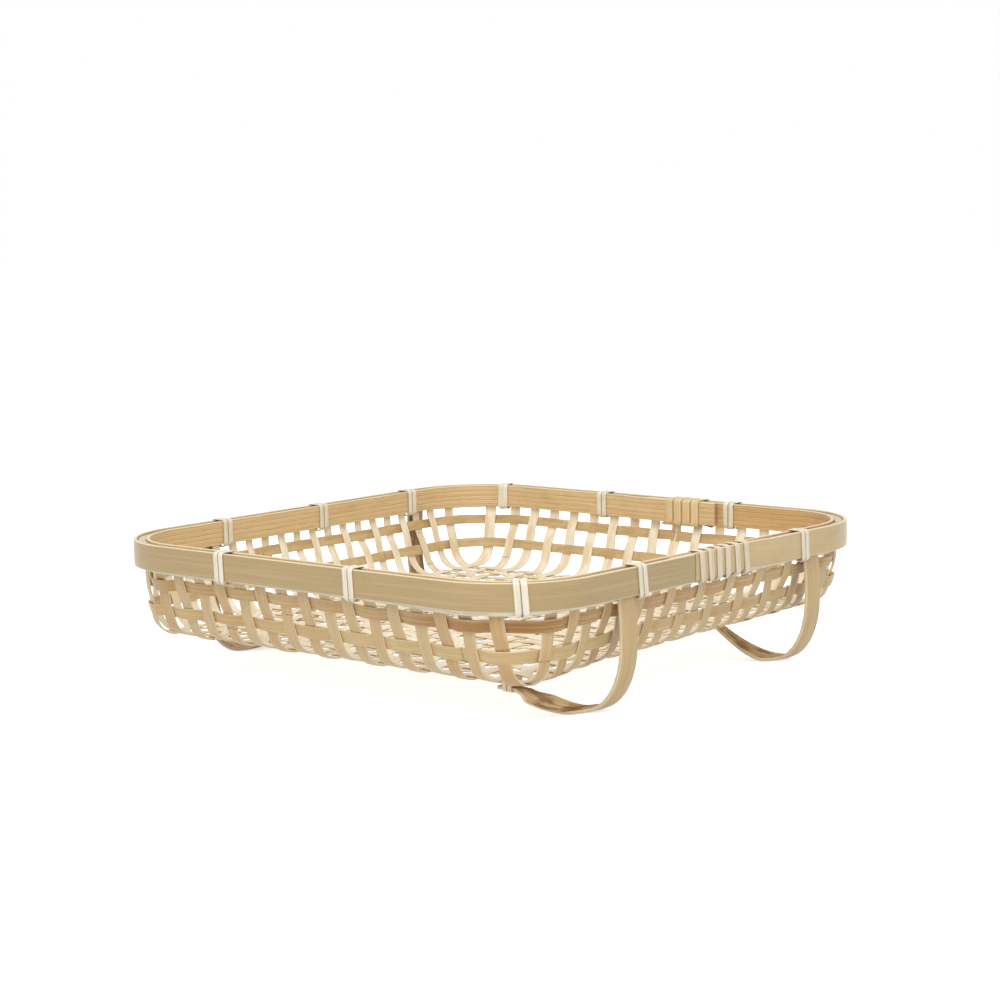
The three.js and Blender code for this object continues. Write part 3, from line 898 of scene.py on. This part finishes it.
    def splint(self, course: Course, index: int, tone: float, rng: Random) -> Strip:
        """One splint, from the rim down a wall, across the base and up the other wall.

        The line of the tray is carried along, and a plateau wave takes the splint to the outside
        and the inside of those that it crosses. It narrows evenly from its middle to its thinner
        end, which lies at the back or on the left.

        Args:
            course: Its family.
            index: Its number in it.
            tone: Where its colour lies among the finish's tones.
            rng: Source of its irregularity.

        Returns:
            The strip.
        """
        others = self.sides(course.other)
        half, half_out, level = self.profile(float(self.sides(course)[index]))
        so_far = lengths_along(half)
        mirror = np.array([-1.0, 1.0, 1.0])
        line, out = (np.concatenate([part[:0:-1] * mirror, part]) for part in (half, half_out))
        length = np.concatenate([-so_far[:0:-1], so_far])
        at = np.linspace(length[0], length[-1], int((length[-1] - length[0]) / self.step) + 1)
        centre, normal = between(at, length, line), unit(between(at, length, out))
        crossed = (self.rows[Row.LOWER], self.rows[Row.UPPER], self.rim_low + 1.5)
        low, high, top = np.interp(crossed, half[level:, 2], so_far[level:])
        base = np.sign(others) * np.interp(np.abs(others), half[:, 0], so_far)
        signs = np.array([self.base_sign(course, index, k) for k in range(len(others))])
        stops = np.concatenate([[-top - 3, -top, -high, -low], base, [low, high, top, top + 3]])
        signs = np.concatenate([[0, 0, signs[0], -signs[0]], signs, [-signs[-1], signs[-1], 0, 0]])
        centre += normal * column(plateau_wave(at, stops, signs * self.weave, self.flat))
        calm = np.clip((self.rim_low - centre[:, 2]) / self.calm_over, 0.0, 1.0)
        centre[:, 1] += calm * wander(at, rng, *self.sway)
        centre = smoothed(centre, 2)
        across, normal = facing(centre, normal)
        hand, width = -1.0, self.along_width
        if course is Course.ACROSS:
            hand, width = 1.0, self.across_width
            centre, across, normal = (values[:, [1, 0, 2]] for values in (centre, across, normal))
        far = np.clip(at / length[-1] * hand, 0.0, 1.0)
        widths = width * (1 - self.narrowing * far) + wander(at, rng, *self.uneven)
        return Strip(self.lifted(centre), across, normal, replace(self.section, width=width), widths,
                     joint_and_end_marks=joint_marks(at, rng), tone=tone, shift=rng.uniform(0, STEM))

    def weaver(self, row: Row, rng: Random) -> Strip:
        """One weaver round the wall, inside and outside of the splints in turn.

        The rim's line is followed at the wall's own inset, and a plateau wave passes each splint on
        the side that the splint leaves free. It is widest at the front corner, by a cosine of the
        way round, and a bell curve darkens the upper one there.

        Args:
            row: Which of the rows.
            rng: Source of its irregularity.

        Returns:
            The strip.
        """
        height = self.rows[row]
        core, half, turn = (float(value[0]) for value in self.plan_at(np.array([height])))
        ring = Rim(side=2 * half, corner=half - core)
        whole = 4 * ring.quarter
        swap, tone, darker = (1.0, 0.5, self.corner_tone) if row is Row.UPPER else (-1.0, 0.2, 0.0)
        places, heights = [], []
        for side in Side:
            course = Course.ACROSS if side in (Side.FRONT, Side.BACK) else Course.ALONG
            hand = 1 if side in (Side.FRONT, Side.RIGHT) else -1
            order = np.arange(len(self.sides(course)))[::hand]
            far = side in (Side.RIGHT, Side.BACK)
            places.append(ring.place_on(side, hand * self.sides(course)[order]))
            sign = np.array([-swap * self.end_sign(course, int(k), far) for k in order])
            rounding = (np.abs(self.sides(course)[order]) > core) & (sign > 0)
            heights.append(sign * self.weave + self.round_out * rounding)
        stops, heights = np.concatenate(places), np.concatenate(heights)
        first = len(self.across_at) + len(self.along_at) + len(self.across_at) // 2 - 1
        stops = np.concatenate([stops[first:], stops[:first + 1] + whole])
        heights = np.concatenate([heights[first:], heights[:first + 1]])
        place = np.arange(stops[0] + 0.5, stops[-1] - 0.5, self.step)
        point, level = ring.at(place, 0.0)
        normal = level * math.sin(turn) - UP * math.cos(turn)
        centre = point + UP * height
        centre += normal * column(plateau_wave(place, stops, heights, self.flat))
        centre[:, 2] += wander(place, rng, *self.weaver_sway)
        across, normal = facing(centre, normal)
        near = 0.5 + 0.5 * np.cos((place / whole - 0.125) * 2 * math.pi)
        widths = self.weaver_least + self.weaver_more * near + wander(place, rng, *self.weaver_uneven)
        corner = np.mod(place + whole / 2 - ring.quarter / 2, whole) - whole / 2
        tone = tone + darker * np.exp(-((corner / self.corner_reach) ** 2))
        tone += wander(place, rng, *self.weaver_drift)
        return Strip(self.lifted(centre), across, normal, self.section, widths,
                     joint_and_end_marks=joint_marks(place, rng), tone=tone, shift=rng.uniform(0, STEM))

    def build(self) -> None:
        """Makes every splint and weaver and dresses them."""
        rng = np.random.default_rng(SEED)
        for course in Course:
            for index in range(len(self.sides(course))):
                node = f"splint_{course.value}_{index + 1:02d}"
                tone = float(np.clip(rng.normal(*self.tones), 0.02, 0.95))
                place_piece(node + "_strip", self.splint(course, index, tone, rng), SPLINT_FINISH, node)
        for row in self.rows:
            node = "weaver_" + row.value
            place_piece(node + "_strip", self.weaver(row, rng), WEAVER_FINISH, node)


@dataclass
class Hoops:
    """The two hoops of the rim and the filler strip between them.

    The filler's lower edge is hidden by the outer hoop, or shown a little below it, or dips lower.
    """

    rim: Rim
    tray: Tray
    outer_mid: float = 0.9
    filler_mid: float = 4.85
    inner_mid: float = 7.7
    lap_step: float = 2.2
    lap_ramp: float = 20.0
    filler_top: float = 70.2
    filler_hidden: float = 57.4
    filler_shown: float = 2.1
    shown_past: float = 10.0
    shown_fade: float = 30.0
    filler_dip: float = 1.2
    dip_at: float = -35.0
    dip_reach: float = 28.0
    filler_uneven: tuple[float, float] = (0.25, 130.0)
    padding: float = 3.4
    padded_half: float = 20.0
    padded_fade: float = 8.0
    step: float = 2.0

    def band(self, place: Array, inset: Array, node: str, section: Section) -> Strip:
        """A strip on edge along the rim, as high as its plain node.

        Args:
            place: Places along the rim.
            inset: Inset of the strip's middle at each place.
            node: The node that gives its heights.
            section: Its section.

        Returns:
            The strip.
        """
        low, high = box_mm(node)
        point, normal = self.rim.at(place, inset)
        centre = point + UP * (low[2] + high[2]) / 2
        across, normal = facing(centre, normal)
        return Strip(centre, across, normal, section)

    def ramp(self, place: Array, start: float) -> Array:
        """A smooth step from 1 to 0 over the length of a lap's ramp."""
        return 1 - eased((place - start) / self.lap_ramp)

    def darkened_end(self, place: Array, last: float) -> Array:
        """Marks that darken a strip (-1) past one end of it, and nought elsewhere."""
        return np.where(place >= last, -1.0, 0.0)

    def outer(self) -> Strip:
        """The outer hoop: its start is tucked inside its own end on the right side.

        Returns:
            The strip.
        """
        right = self.rim.quarter
        along = self.tray.along_at
        start, opened = right + (along[6] + along[7]) / 2, right + along[12]
        end = right + along[8] + 4 * right
        place = np.arange(start, end, self.step)
        inset = self.outer_mid + self.lap_step * self.ramp(place, opened)
        section = Section(width=14.0, wall=1.8, edge=0.5, crown=0.12, face_points=9)
        strip = self.band(place, inset, "outer_hoop", section)
        strip.tone = np.interp(place, [start, 2 * right, 3 * right, 4.4 * right, 4.6 * right, end],
                               [0.8, 0.75, 0.4, 0.35, 0.15, 0.1])
        strip.joint_and_end_marks = self.darkened_end(place, end - self.step)
        return strip

    def inner(self) -> Strip:
        """The inner hoop: its start lies inside its own end at the back.

        Returns:
            The strip.
        """
        quarter, across = self.rim.quarter, self.tray.across_at
        start, opened = 2 * quarter - across[11], 2 * quarter - (across[7] + across[8]) / 2
        place = np.arange(start, opened - self.lap_step + 4 * quarter, self.step)
        inset = self.inner_mid + self.lap_step * self.ramp(place, opened)
        section = Section(width=13.0, wall=1.8, edge=0.5, grooves=4, groove_depth=0.22, face_points=41)
        strip = self.band(place, inset, "inner_hoop", section)
        strip.tone = np.interp(place, [start, start + 2.5 * quarter, start + 3.2 * quarter],
                               [0.35, 0.3, 0.85])
        strip.joint_and_end_marks = 0.6 * self.darkened_end(-place, -start - 0.5 * self.step)
        return strip

    def filler_low(self, place: Array) -> Array:
        """Height of the filler's lower edge: shown at the front and right, hidden elsewhere.

        A smooth step goes from the shown to the hidden height at both ends of that stretch, and a
        bell curve lowers it more to the left of the front corner.

        Args:
            place: Places along the rim.

        Returns:
            The heights.
        """
        quarter = self.rim.quarter
        beside = np.mod(place + 1.5 * quarter, 4 * quarter) - 2 * quarter
        shown = self.filler_shown * eased((quarter + self.shown_past - np.abs(beside)) / self.shown_fade)
        dip = self.filler_dip * np.exp(-(((beside - self.dip_at) / self.dip_reach) ** 2))
        return self.filler_hidden - shown - dip

    def filler(self) -> Strip:
        """The thin pale strip between the hoops, padded out to fill the pocket at the four corners.

        The padding is a smooth step up and down at the same distance from the middle of a corner.

        Returns:
            The strip.
        """
        quarter = self.rim.quarter
        place = np.arange(0.5 - quarter, 3 * quarter - 0.5, self.step)
        rng = np.random.default_rng(SEED + 2)
        from_corner = np.abs(np.mod(place, quarter) - quarter / 2)
        padded = eased((self.padded_half - from_corner) / self.padded_fade)
        section = Section(width=14.0, wall=0.9, edge=0.3, crown=0.1)
        strip = self.band(place, self.filler_mid - 0.5 * padded, "filler_strip", section)
        low = self.filler_low(place) + wander(place, rng, *self.filler_uneven)
        strip.centre[:, 2] = (low + self.filler_top) / 2
        strip.widths = self.filler_top - low
        strip.walls = 1 + self.padding * padded
        strip.tone = 0.0
        return strip

    def build(self) -> None:
        """Makes the hoops and the filler and dresses them."""
        place_piece("outer_hoop_strip", self.outer(), OUTER_FINISH, "outer_hoop")
        place_piece("inner_hoop_strip", self.inner(), INNER_FINISH, "inner_hoop")
        place_piece("filler_cane", self.filler(), PALE_CANE, "filler_strip")


@dataclass
class Wrapping:
    """The cane that binds the rim: lashings of two turns, and a binding on each hoop's lap."""

    rim: Rim
    tray: Tray
    hoops: Hoops
    depth: float = 8.6
    low: float = 56.6
    high: float = 71.0
    off: float = 0.45
    pinch: float = 2.4
    lift: float = 1.0
    wall: float = 0.5
    narrow: float = 0.6
    widen_over: float = 2.5
    turning: float = 1.5
    step: float = 0.6
    width: float = 3.25
    wide: float = 4.2
    wider: float = 5.2
    apart: float = 0.4
    apart_below: float = 0.2
    leans: tuple[float, float] = (0.5, 1.6)
    binding_leans: tuple[float, float] = (0.3, 1.5)
    uneven: float = 0.06

    def winding(self, tops: Array, feet: Array, bottoms: Array, faces: tuple[float, float],
                width: float) -> Strip:
        """A cane wound round the rim, one turn for each place.

        Each turn goes up the outside, over the top, down the inside and under the rim to the next
        turn's bottom, and the corners of that line are rounded. The cane is narrower below the rim,
        where it passes between two splints, and widens by a smooth step.

        Args:
            tops: Place of each turn along the rim's top.
            feet: Place of each turn at the foot of the outside.
            bottoms: Place of each turn below the rim.
            faces: Insets of the faces that the cane lies on, outside and inside.
            width: Width of the cane.

        Returns:
            The strip.
        """
        outside, inside = faces[0] - self.off, faces[1] + self.off
        lowest = min(self.low, float(self.hoops.filler_low(bottoms).min()))
        under, over = lowest - self.off, self.high + self.off
        insets = np.array([outside + self.pinch, outside, outside, inside, inside, inside - self.pinch])
        rises = self.lift * np.array([0.0, 1.0, 1.6, 0.3])
        heights = np.insert(under + rises, [2, 2], over)
        after = np.append(bottoms[1:], bottoms[-1])
        places = np.stack([bottoms, feet, tops, tops, tops, after], axis=1)
        point, _ = self.rim.at(places.ravel(), np.tile(insets, len(tops)))
        corners = point + column(np.tile(heights, len(tops))) * UP
        centre = smoothed(rounded(corners, self.turning, self.step), 1)
        hub, out = self.rim.at(np.array([tops.mean()]), (outside + inside) / 2)
        hub[:, 2] = (under + over) / 2
        run = np.cross(out, UP)
        away = centre - hub
        away -= run * (away @ run[0])[:, None]
        ahead = unit(np.gradient(centre, axis=0))
        normal = unit(np.cross(ahead, run))
        normal *= np.sign((normal * away).sum(axis=1).mean())
        across, normal = facing(centre, normal)
        widening = (1 - self.narrow) * eased((centre[:, 2] - under) / self.widen_over)
        section = Section(width=width, wall=self.wall, edge=0.22, crown=0.14, face_points=9)
        return Strip(centre, across, normal, section, width * (self.narrow + widening))

    def lashings(self, names: list[str]) -> None:
        """Makes the lashings of two turns, each where its plain node is, leaning a little.

        Args:
            names: Their nodes.
        """
        rng = np.random.default_rng(SEED + 3)
        for node in names:
            low, high = box_mm(node)
            place = self.rim.nearest((low + high) / 2, self.depth / 2)
            lean = rng.uniform(*self.leans)
            tops = place - lean / 2 + PAIR * (self.width + self.apart)
            bottoms = place + PAIR * (self.width * self.narrow + self.apart_below)
            strip = self.winding(tops, tops + lean, bottoms, (0.0, self.depth), self.width)
            strip.shift = rng.uniform(0, STEM)
            strip.tone = rng.uniform(0.0, 0.25)
            place_piece(node + "_cane", strip, PALE_CANE, node)

    def bound(self, gaps: Array, spread: float, faces: tuple[float, float], width: float,
              rng: Random) -> Strip:
        """A binding of many turns, evenly spread above.

        One turn passes through the first and the last gap between splints, and two through each gap
        between them.

        Args:
            gaps: Place of each gap, rising.
            spread: Length over which the turns are spread above, as a share of the gaps'.
            faces: Insets of the faces that the cane lies on, outside and inside.
            width: Width of the cane.
            rng: Source of its irregularity.

        Returns:
            The strip.
        """
        pair = PAIR * (self.narrow * width + self.apart_below)
        bottoms = np.concatenate([gaps[:1], (gaps[1:-1, None] + pair).ravel(), gaps[-1:]])
        reach, turns = spread * (gaps[-1] - gaps[0]) / 2, len(bottoms)
        tops = gaps.mean() + np.linspace(-reach, reach, turns)
        tops += self.uneven * width * rng.normal(0.0, 1.0, turns)
        feet = tops + rng.uniform(*self.binding_leans, turns)
        strip = self.winding(tops, feet, bottoms, faces, width)
        strip.shift = rng.uniform(0, STEM)
        return strip

    def bindings(self) -> None:
        """Makes the bindings of the two laps."""
        along, across, step = self.tray.along_at, self.tray.across_at, self.hoops.lap_step
        rng = np.random.default_rng(SEED + 5)
        gaps = self.rim.quarter + (along[8:12] + along[9:13]) / 2
        strip = self.bound(gaps, 1.0, (step, self.depth), self.wide, rng)
        strip.tone = 0.6
        place_piece("outer_hoop_binding_cane", strip, PALE_CANE, "outer_hoop_binding")
        gaps = 2 * self.rim.quarter - (across[8:11] + across[9:12])[::-1] / 2
        strip = self.bound(gaps, 0.58, (0.0, self.depth + step), self.wider, rng)
        strip.tone = 0.3
        place_piece("inner_hoop_binding_cane", strip, NATURAL_CANE, "inner_hoop_binding")

    def build(self) -> None:
        """Makes every lashing and binding and dresses them."""
        self.lashings([name for name in sorted(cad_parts) if name.startswith("lashing_")])
        self.bindings()


@dataclass(frozen=True)
class Stance:
    """Where one foot stands: its leg and its tail along the side, where its tie is, and its early slant.

    A tail narrows over the last `slim` of its length, and a hand of -1 turns the foot half round.
    """

    name: str
    leg: float
    tail: float
    tie: float
    lead: float = 0.1
    slim: float = 32.0
    hand: float = 1.0


@dataclass
class Feet:
    """The four bent feet and the ties that hold their tails under the base."""

    tray: Tray
    width: float = 12.5
    tail_width: float = 6.2
    wall: float = 1.8
    beside: float = 9.42
    pocket_in: float = 1.16
    top: float = 69.0
    pocket_low: float = 57.0
    leg_high: float = 44.0
    leg_x: float = 148.28
    reach: float = 19.0
    curl: float = 33.0
    flat: float = 3.0
    slanting: float = 0.1
    rising: float = 1.5
    tail_length: float = 13.0
    tail_even: float = 14.0
    least_cosine: float = 0.6
    tail_z: float = 16.5
    step: float = 1.0
    tie_above: float = 1.55
    tie_room: float = 0.7
    tie_half: float = 2.95
    tie_apart: float = 3.2
    tie_turning: float = 2.2
    tie_step: float = 0.6

    def stances(self) -> list[Stance]:
        """Where the feet stand, from the splints that they hang between and lie under.

        Returns:
            One stance for each foot; a left foot's is the one that is turned half round.
        """
        along, across, beside = self.tray.along_at, self.tray.across_at, self.beside
        gaps, ties = (along[1:] + along[:-1]) / 2, (across[1:] + across[:-1]) / 2
        return [
            Stance("right_front", gaps[4] - beside, along[0], ties[15], slim=26.0),
            Stance("right_back", gaps[15] + beside, along[14], ties[14], slim=52.0),
            Stance("left_back", gaps[2] - beside, along[4], ties[14], hand=-1.0),
            Stance("left_front", gaps[14] + beside, along[13], ties[14], lead=0.3, hand=-1.0),
        ]

    def tail_height(self, stance: Stance) -> float:
        """Height of a foot's tail, just under the base."""
        return self.tail_z + float(self.tray.lift(stance.tie * stance.hand, stance.tail * stance.hand))

    def leg(self, stance: Stance) -> Strip:
        """One foot on the right side: down the rim, round a curl, along the floor and up under the base.

        The curl is a quarter ellipse, the rise a power of its length, and the strip drifts sideways
        from the leg to the tail as it goes. The tail narrows by a smooth step, and a slanting stretch
        is wider by one over the cosine of its slant.

        Args:
            stance: Where it stands.

        Returns:
            The strip.
        """
        turn = np.linspace(0.0, 1.0, 30)
        angle, rise = turn * math.pi / 2, turn[1:]
        led = stance.lead + self.slanting
        flat, pocket, low = self.leg_x - self.reach, self.leg_x - self.pocket_in, self.wall / 2
        up, end = flat - self.flat, stance.tie - self.tail_length / 2
        x = np.concatenate([[pocket, pocket, self.leg_x], flat + self.reach * np.cos(angle),
                            [up], up + (end + self.tail_length - up) * rise, [end]])
        climb = self.tail_height(stance) - low
        z = np.concatenate([[self.top, self.pocket_low, self.leg_high],
                            low + self.curl * (1 - np.sin(angle)), [low],
                            low + climb * rise**self.rising, [low + climb]])
        slant = np.concatenate([np.zeros(3), stance.lead * turn**2, [led], led + (1 - led) * rise, [1.0]])
        line = np.stack([x, stance.leg + (stance.tail - stance.leg) * slant, z], axis=1)
        centre = smoothed(resampled(line, self.step), 6)
        centre[:, 2] -= centre[:, 2].min() - low
        ahead = unit(np.gradient(centre, axis=0))
        across = np.broadcast_to([0.0, 1.0, 0.0], ahead.shape)
        normal = unit(np.cross(across, ahead))
        normal *= np.sign(normal[0, 0])
        length = lengths_along(centre)
        share = eased((length - length[-1] + stance.slim) / (stance.slim - self.tail_even))
        widths = self.width + (self.tail_width - self.width) * share
        widths /= np.maximum(np.sqrt(1 - ahead[:, 1] ** 2), self.least_cosine)
        section = Section(self.width, self.wall, edge=0.5, crown=0.2, grooves=3, groove_depth=0.3,
                          face_points=33)
        return Strip(centre, across, normal, section, widths)

    def tie(self, stance: Stance) -> Strip:
        """A cane of two turns round a tail and the splint above it.

        Each turn is a rounded rectangle across the tail, and the next lies beside it.

        Args:
            stance: The foot's.

        Returns:
            The strip.
        """
        middle = np.array([stance.tie, stance.tail, self.tail_height(stance) + self.tie_above])
        half_width = self.tail_width / 2 + self.tie_room
        x = np.repeat(PAIR * self.tie_apart, 4)
        y = np.tile([-half_width, -half_width, half_width, half_width], 2)
        z = np.tile([self.tie_half, -self.tie_half, -self.tie_half, self.tie_half], 2)
        centre = rounded(middle + np.stack([x, y, z], axis=1), self.tie_turning, self.tie_step)
        away = centre - middle
        away[:, 0] = 0.0
        across, normal = facing(centre, away)
        section = Section(width=2.9, wall=0.65, edge=0.28, crown=0.1, face_points=7)
        return Strip(centre, across, normal, section)

    def build(self) -> None:
        """Makes every foot with its tie and dresses them."""
        rng = np.random.default_rng(SEED + 4)
        for stance in self.stances():
            strip, tie = self.leg(stance), self.tie(stance)
            turned = np.array([stance.hand, stance.hand, 1.0])
            for each in (strip, tie):
                each.centre = each.centre * turned
                each.across, each.out = each.across * turned, each.out * turned
                each.shift = rng.uniform(0, STEM)
            strip.tone = rng.uniform(0.3, 0.7)
            tie.tone = 0.9
            node = "foot_" + stance.name
            place_piece(node + "_strip", strip, FOOT_FINISH, node)
            place_piece(f"foot_tie_{stance.name}_cane", tie, PALE_CANE)


@dataclass(frozen=True)
class Studio:
    """The pale floor, the soft light and the camera, in metres and degrees, the lens in millimetres."""

    turn: float = 41.24
    lift: float = 7.96
    roll: float = -1.22
    distance: float = 1.34274
    aim: tuple[float, float, float] = (0.0, 0.0, 0.071)
    lens: float = 90.0
    shift: tuple[float, float] = (0.00746, 0.0264)
    white: Colour = (1.0, 1.0, 1.0)
    sky: float = 0.62
    key_power: float = 14.0
    key_at: tuple[float, float, float] = (0.5, -0.72, 1.2)
    key_size: float = 1.2
    floor_grey: Colour = (0.8, 0.8, 0.8)
    floor_rough: float = 0.9
    floor_glow: float = 0.7
    floor_half: float = 6.0
    floor_low: float = -0.0003

    def camera(self) -> None:
        """Sets the camera at the viewing angle: turned round the basket, lifted and rolled a little."""
        turn, lift, roll = (math.radians(angle) for angle in (self.turn, self.lift, self.roll))
        back = Vector((math.sin(turn) * math.cos(lift), -math.cos(turn) * math.cos(lift), math.sin(lift)))
        right = Vector((math.cos(turn), math.sin(turn), 0.0))
        up = back.cross(right)
        x_axis = right * math.cos(roll) + up * math.sin(roll)
        y_axis = up * math.cos(roll) - right * math.sin(roll)
        data = bpy.data.cameras.new("camera")
        data.lens, data.sensor_width = self.lens, 36.0
        data.shift_x, data.shift_y = self.shift
        camera = bpy.data.objects.new("camera", data)
        bpy.context.scene.collection.objects.link(camera)
        place = Matrix.Translation(Vector(self.aim) + back * self.distance)
        camera.matrix_world = place @ Matrix((x_axis, y_axis, back)).transposed().to_4x4()
        bpy.context.scene.camera = camera

    def floor(self) -> None:
        """Lays a pale floor that looks white and keeps the basket's shadow."""
        mesh = bpy.data.meshes.new("floor")
        half, low = self.floor_half, self.floor_low
        corners = [(-half, -half, low), (half, -half, low), (half, half, low), (-half, half, low)]
        mesh.from_pydata(corners, [], [(0, 1, 2, 3)])
        floor = bpy.data.objects.new("floor", mesh)
        bpy.context.scene.collection.objects.link(floor)
        shader = Shader("floor")
        shader.coat(self.floor_grey, self.floor_rough)
        shader.surface.inputs["Specular IOR Level"].default_value = 0.0
        plain = shader.surface.outputs["BSDF"]
        glow = shader.add("Emission", "Emission", {"Strength": self.floor_glow})
        added = shader.add("AddShader", "Shader", {0: plain, 1: glow})
        shown = shader.add("MixShader", "Shader", {0: shader.background_rays(), 1: plain, 2: added})
        shader.feed(shader.output.inputs["Surface"], shown)
        mesh.materials.append(shader.material)

    def light(self) -> None:
        """Hangs one large soft lamp above the front corner and lets a pale sky fill in the rest."""
        world = bpy.data.worlds.new("studio")
        world.use_nodes = True
        nodes = Nodes(world.node_tree)
        behind = nodes.add("Background", "Background", {"Color": self.white})
        sky = nodes.add("Background", "Background", {"Color": self.white, "Strength": self.sky})
        shown = nodes.add("MixShader", "Shader", {0: nodes.background_rays(), 1: sky, 2: behind})
        output = nodes.tree.nodes.new("ShaderNodeOutputWorld")
        nodes.feed(output.inputs["Surface"], shown)
        bpy.context.scene.world = world
        lamp = bpy.data.lights.new("key", "AREA")
        lamp.energy, lamp.size = self.key_power, self.key_size
        key = bpy.data.objects.new("key", lamp)
        bpy.context.scene.collection.objects.link(key)
        place = Vector(self.key_at)
        key.matrix_world = Matrix.Translation(place) @ place.to_track_quat("Z", "Y").to_matrix().to_4x4()

    def build(self) -> None:
        """Sets up the camera, the floor and the light."""
        self.camera()
        self.floor()
        self.light()
        bpy.context.scene.view_settings.view_transform = "Standard"


def splint_places(course: Course, axis: int) -> Array:
    """Where the splints of a family lie: the middles of their plain nodes along an axis, in order."""
    names = sorted(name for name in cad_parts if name.startswith(f"splint_{course.value}_"))
    return np.array([np.mean(box_mm(name), axis=0)[axis] for name in names])


def main() -> None:
    """Builds the studio and the basket's sub-assemblies in order."""
    logging.basicConfig(level=logging.INFO, format="%(message)s")
    Studio().build()
    low, high = box_mm("outer_hoop")
    rim = Rim(side=float(high[0] - low[0]))
    rows = {row: float(np.mean(box_mm("weaver_" + row.value), axis=0)[2]) for row in Row}
    tray = Tray(rim, splint_places(Course.ACROSS, 0), splint_places(Course.ALONG, 1), rows)
    tray.build()
    hoops = Hoops(rim, tray)
    hoops.build()
    Wrapping(rim, tray, hoops).build()
    Feet(tray).build()


if __name__ == "__main__":
    main()
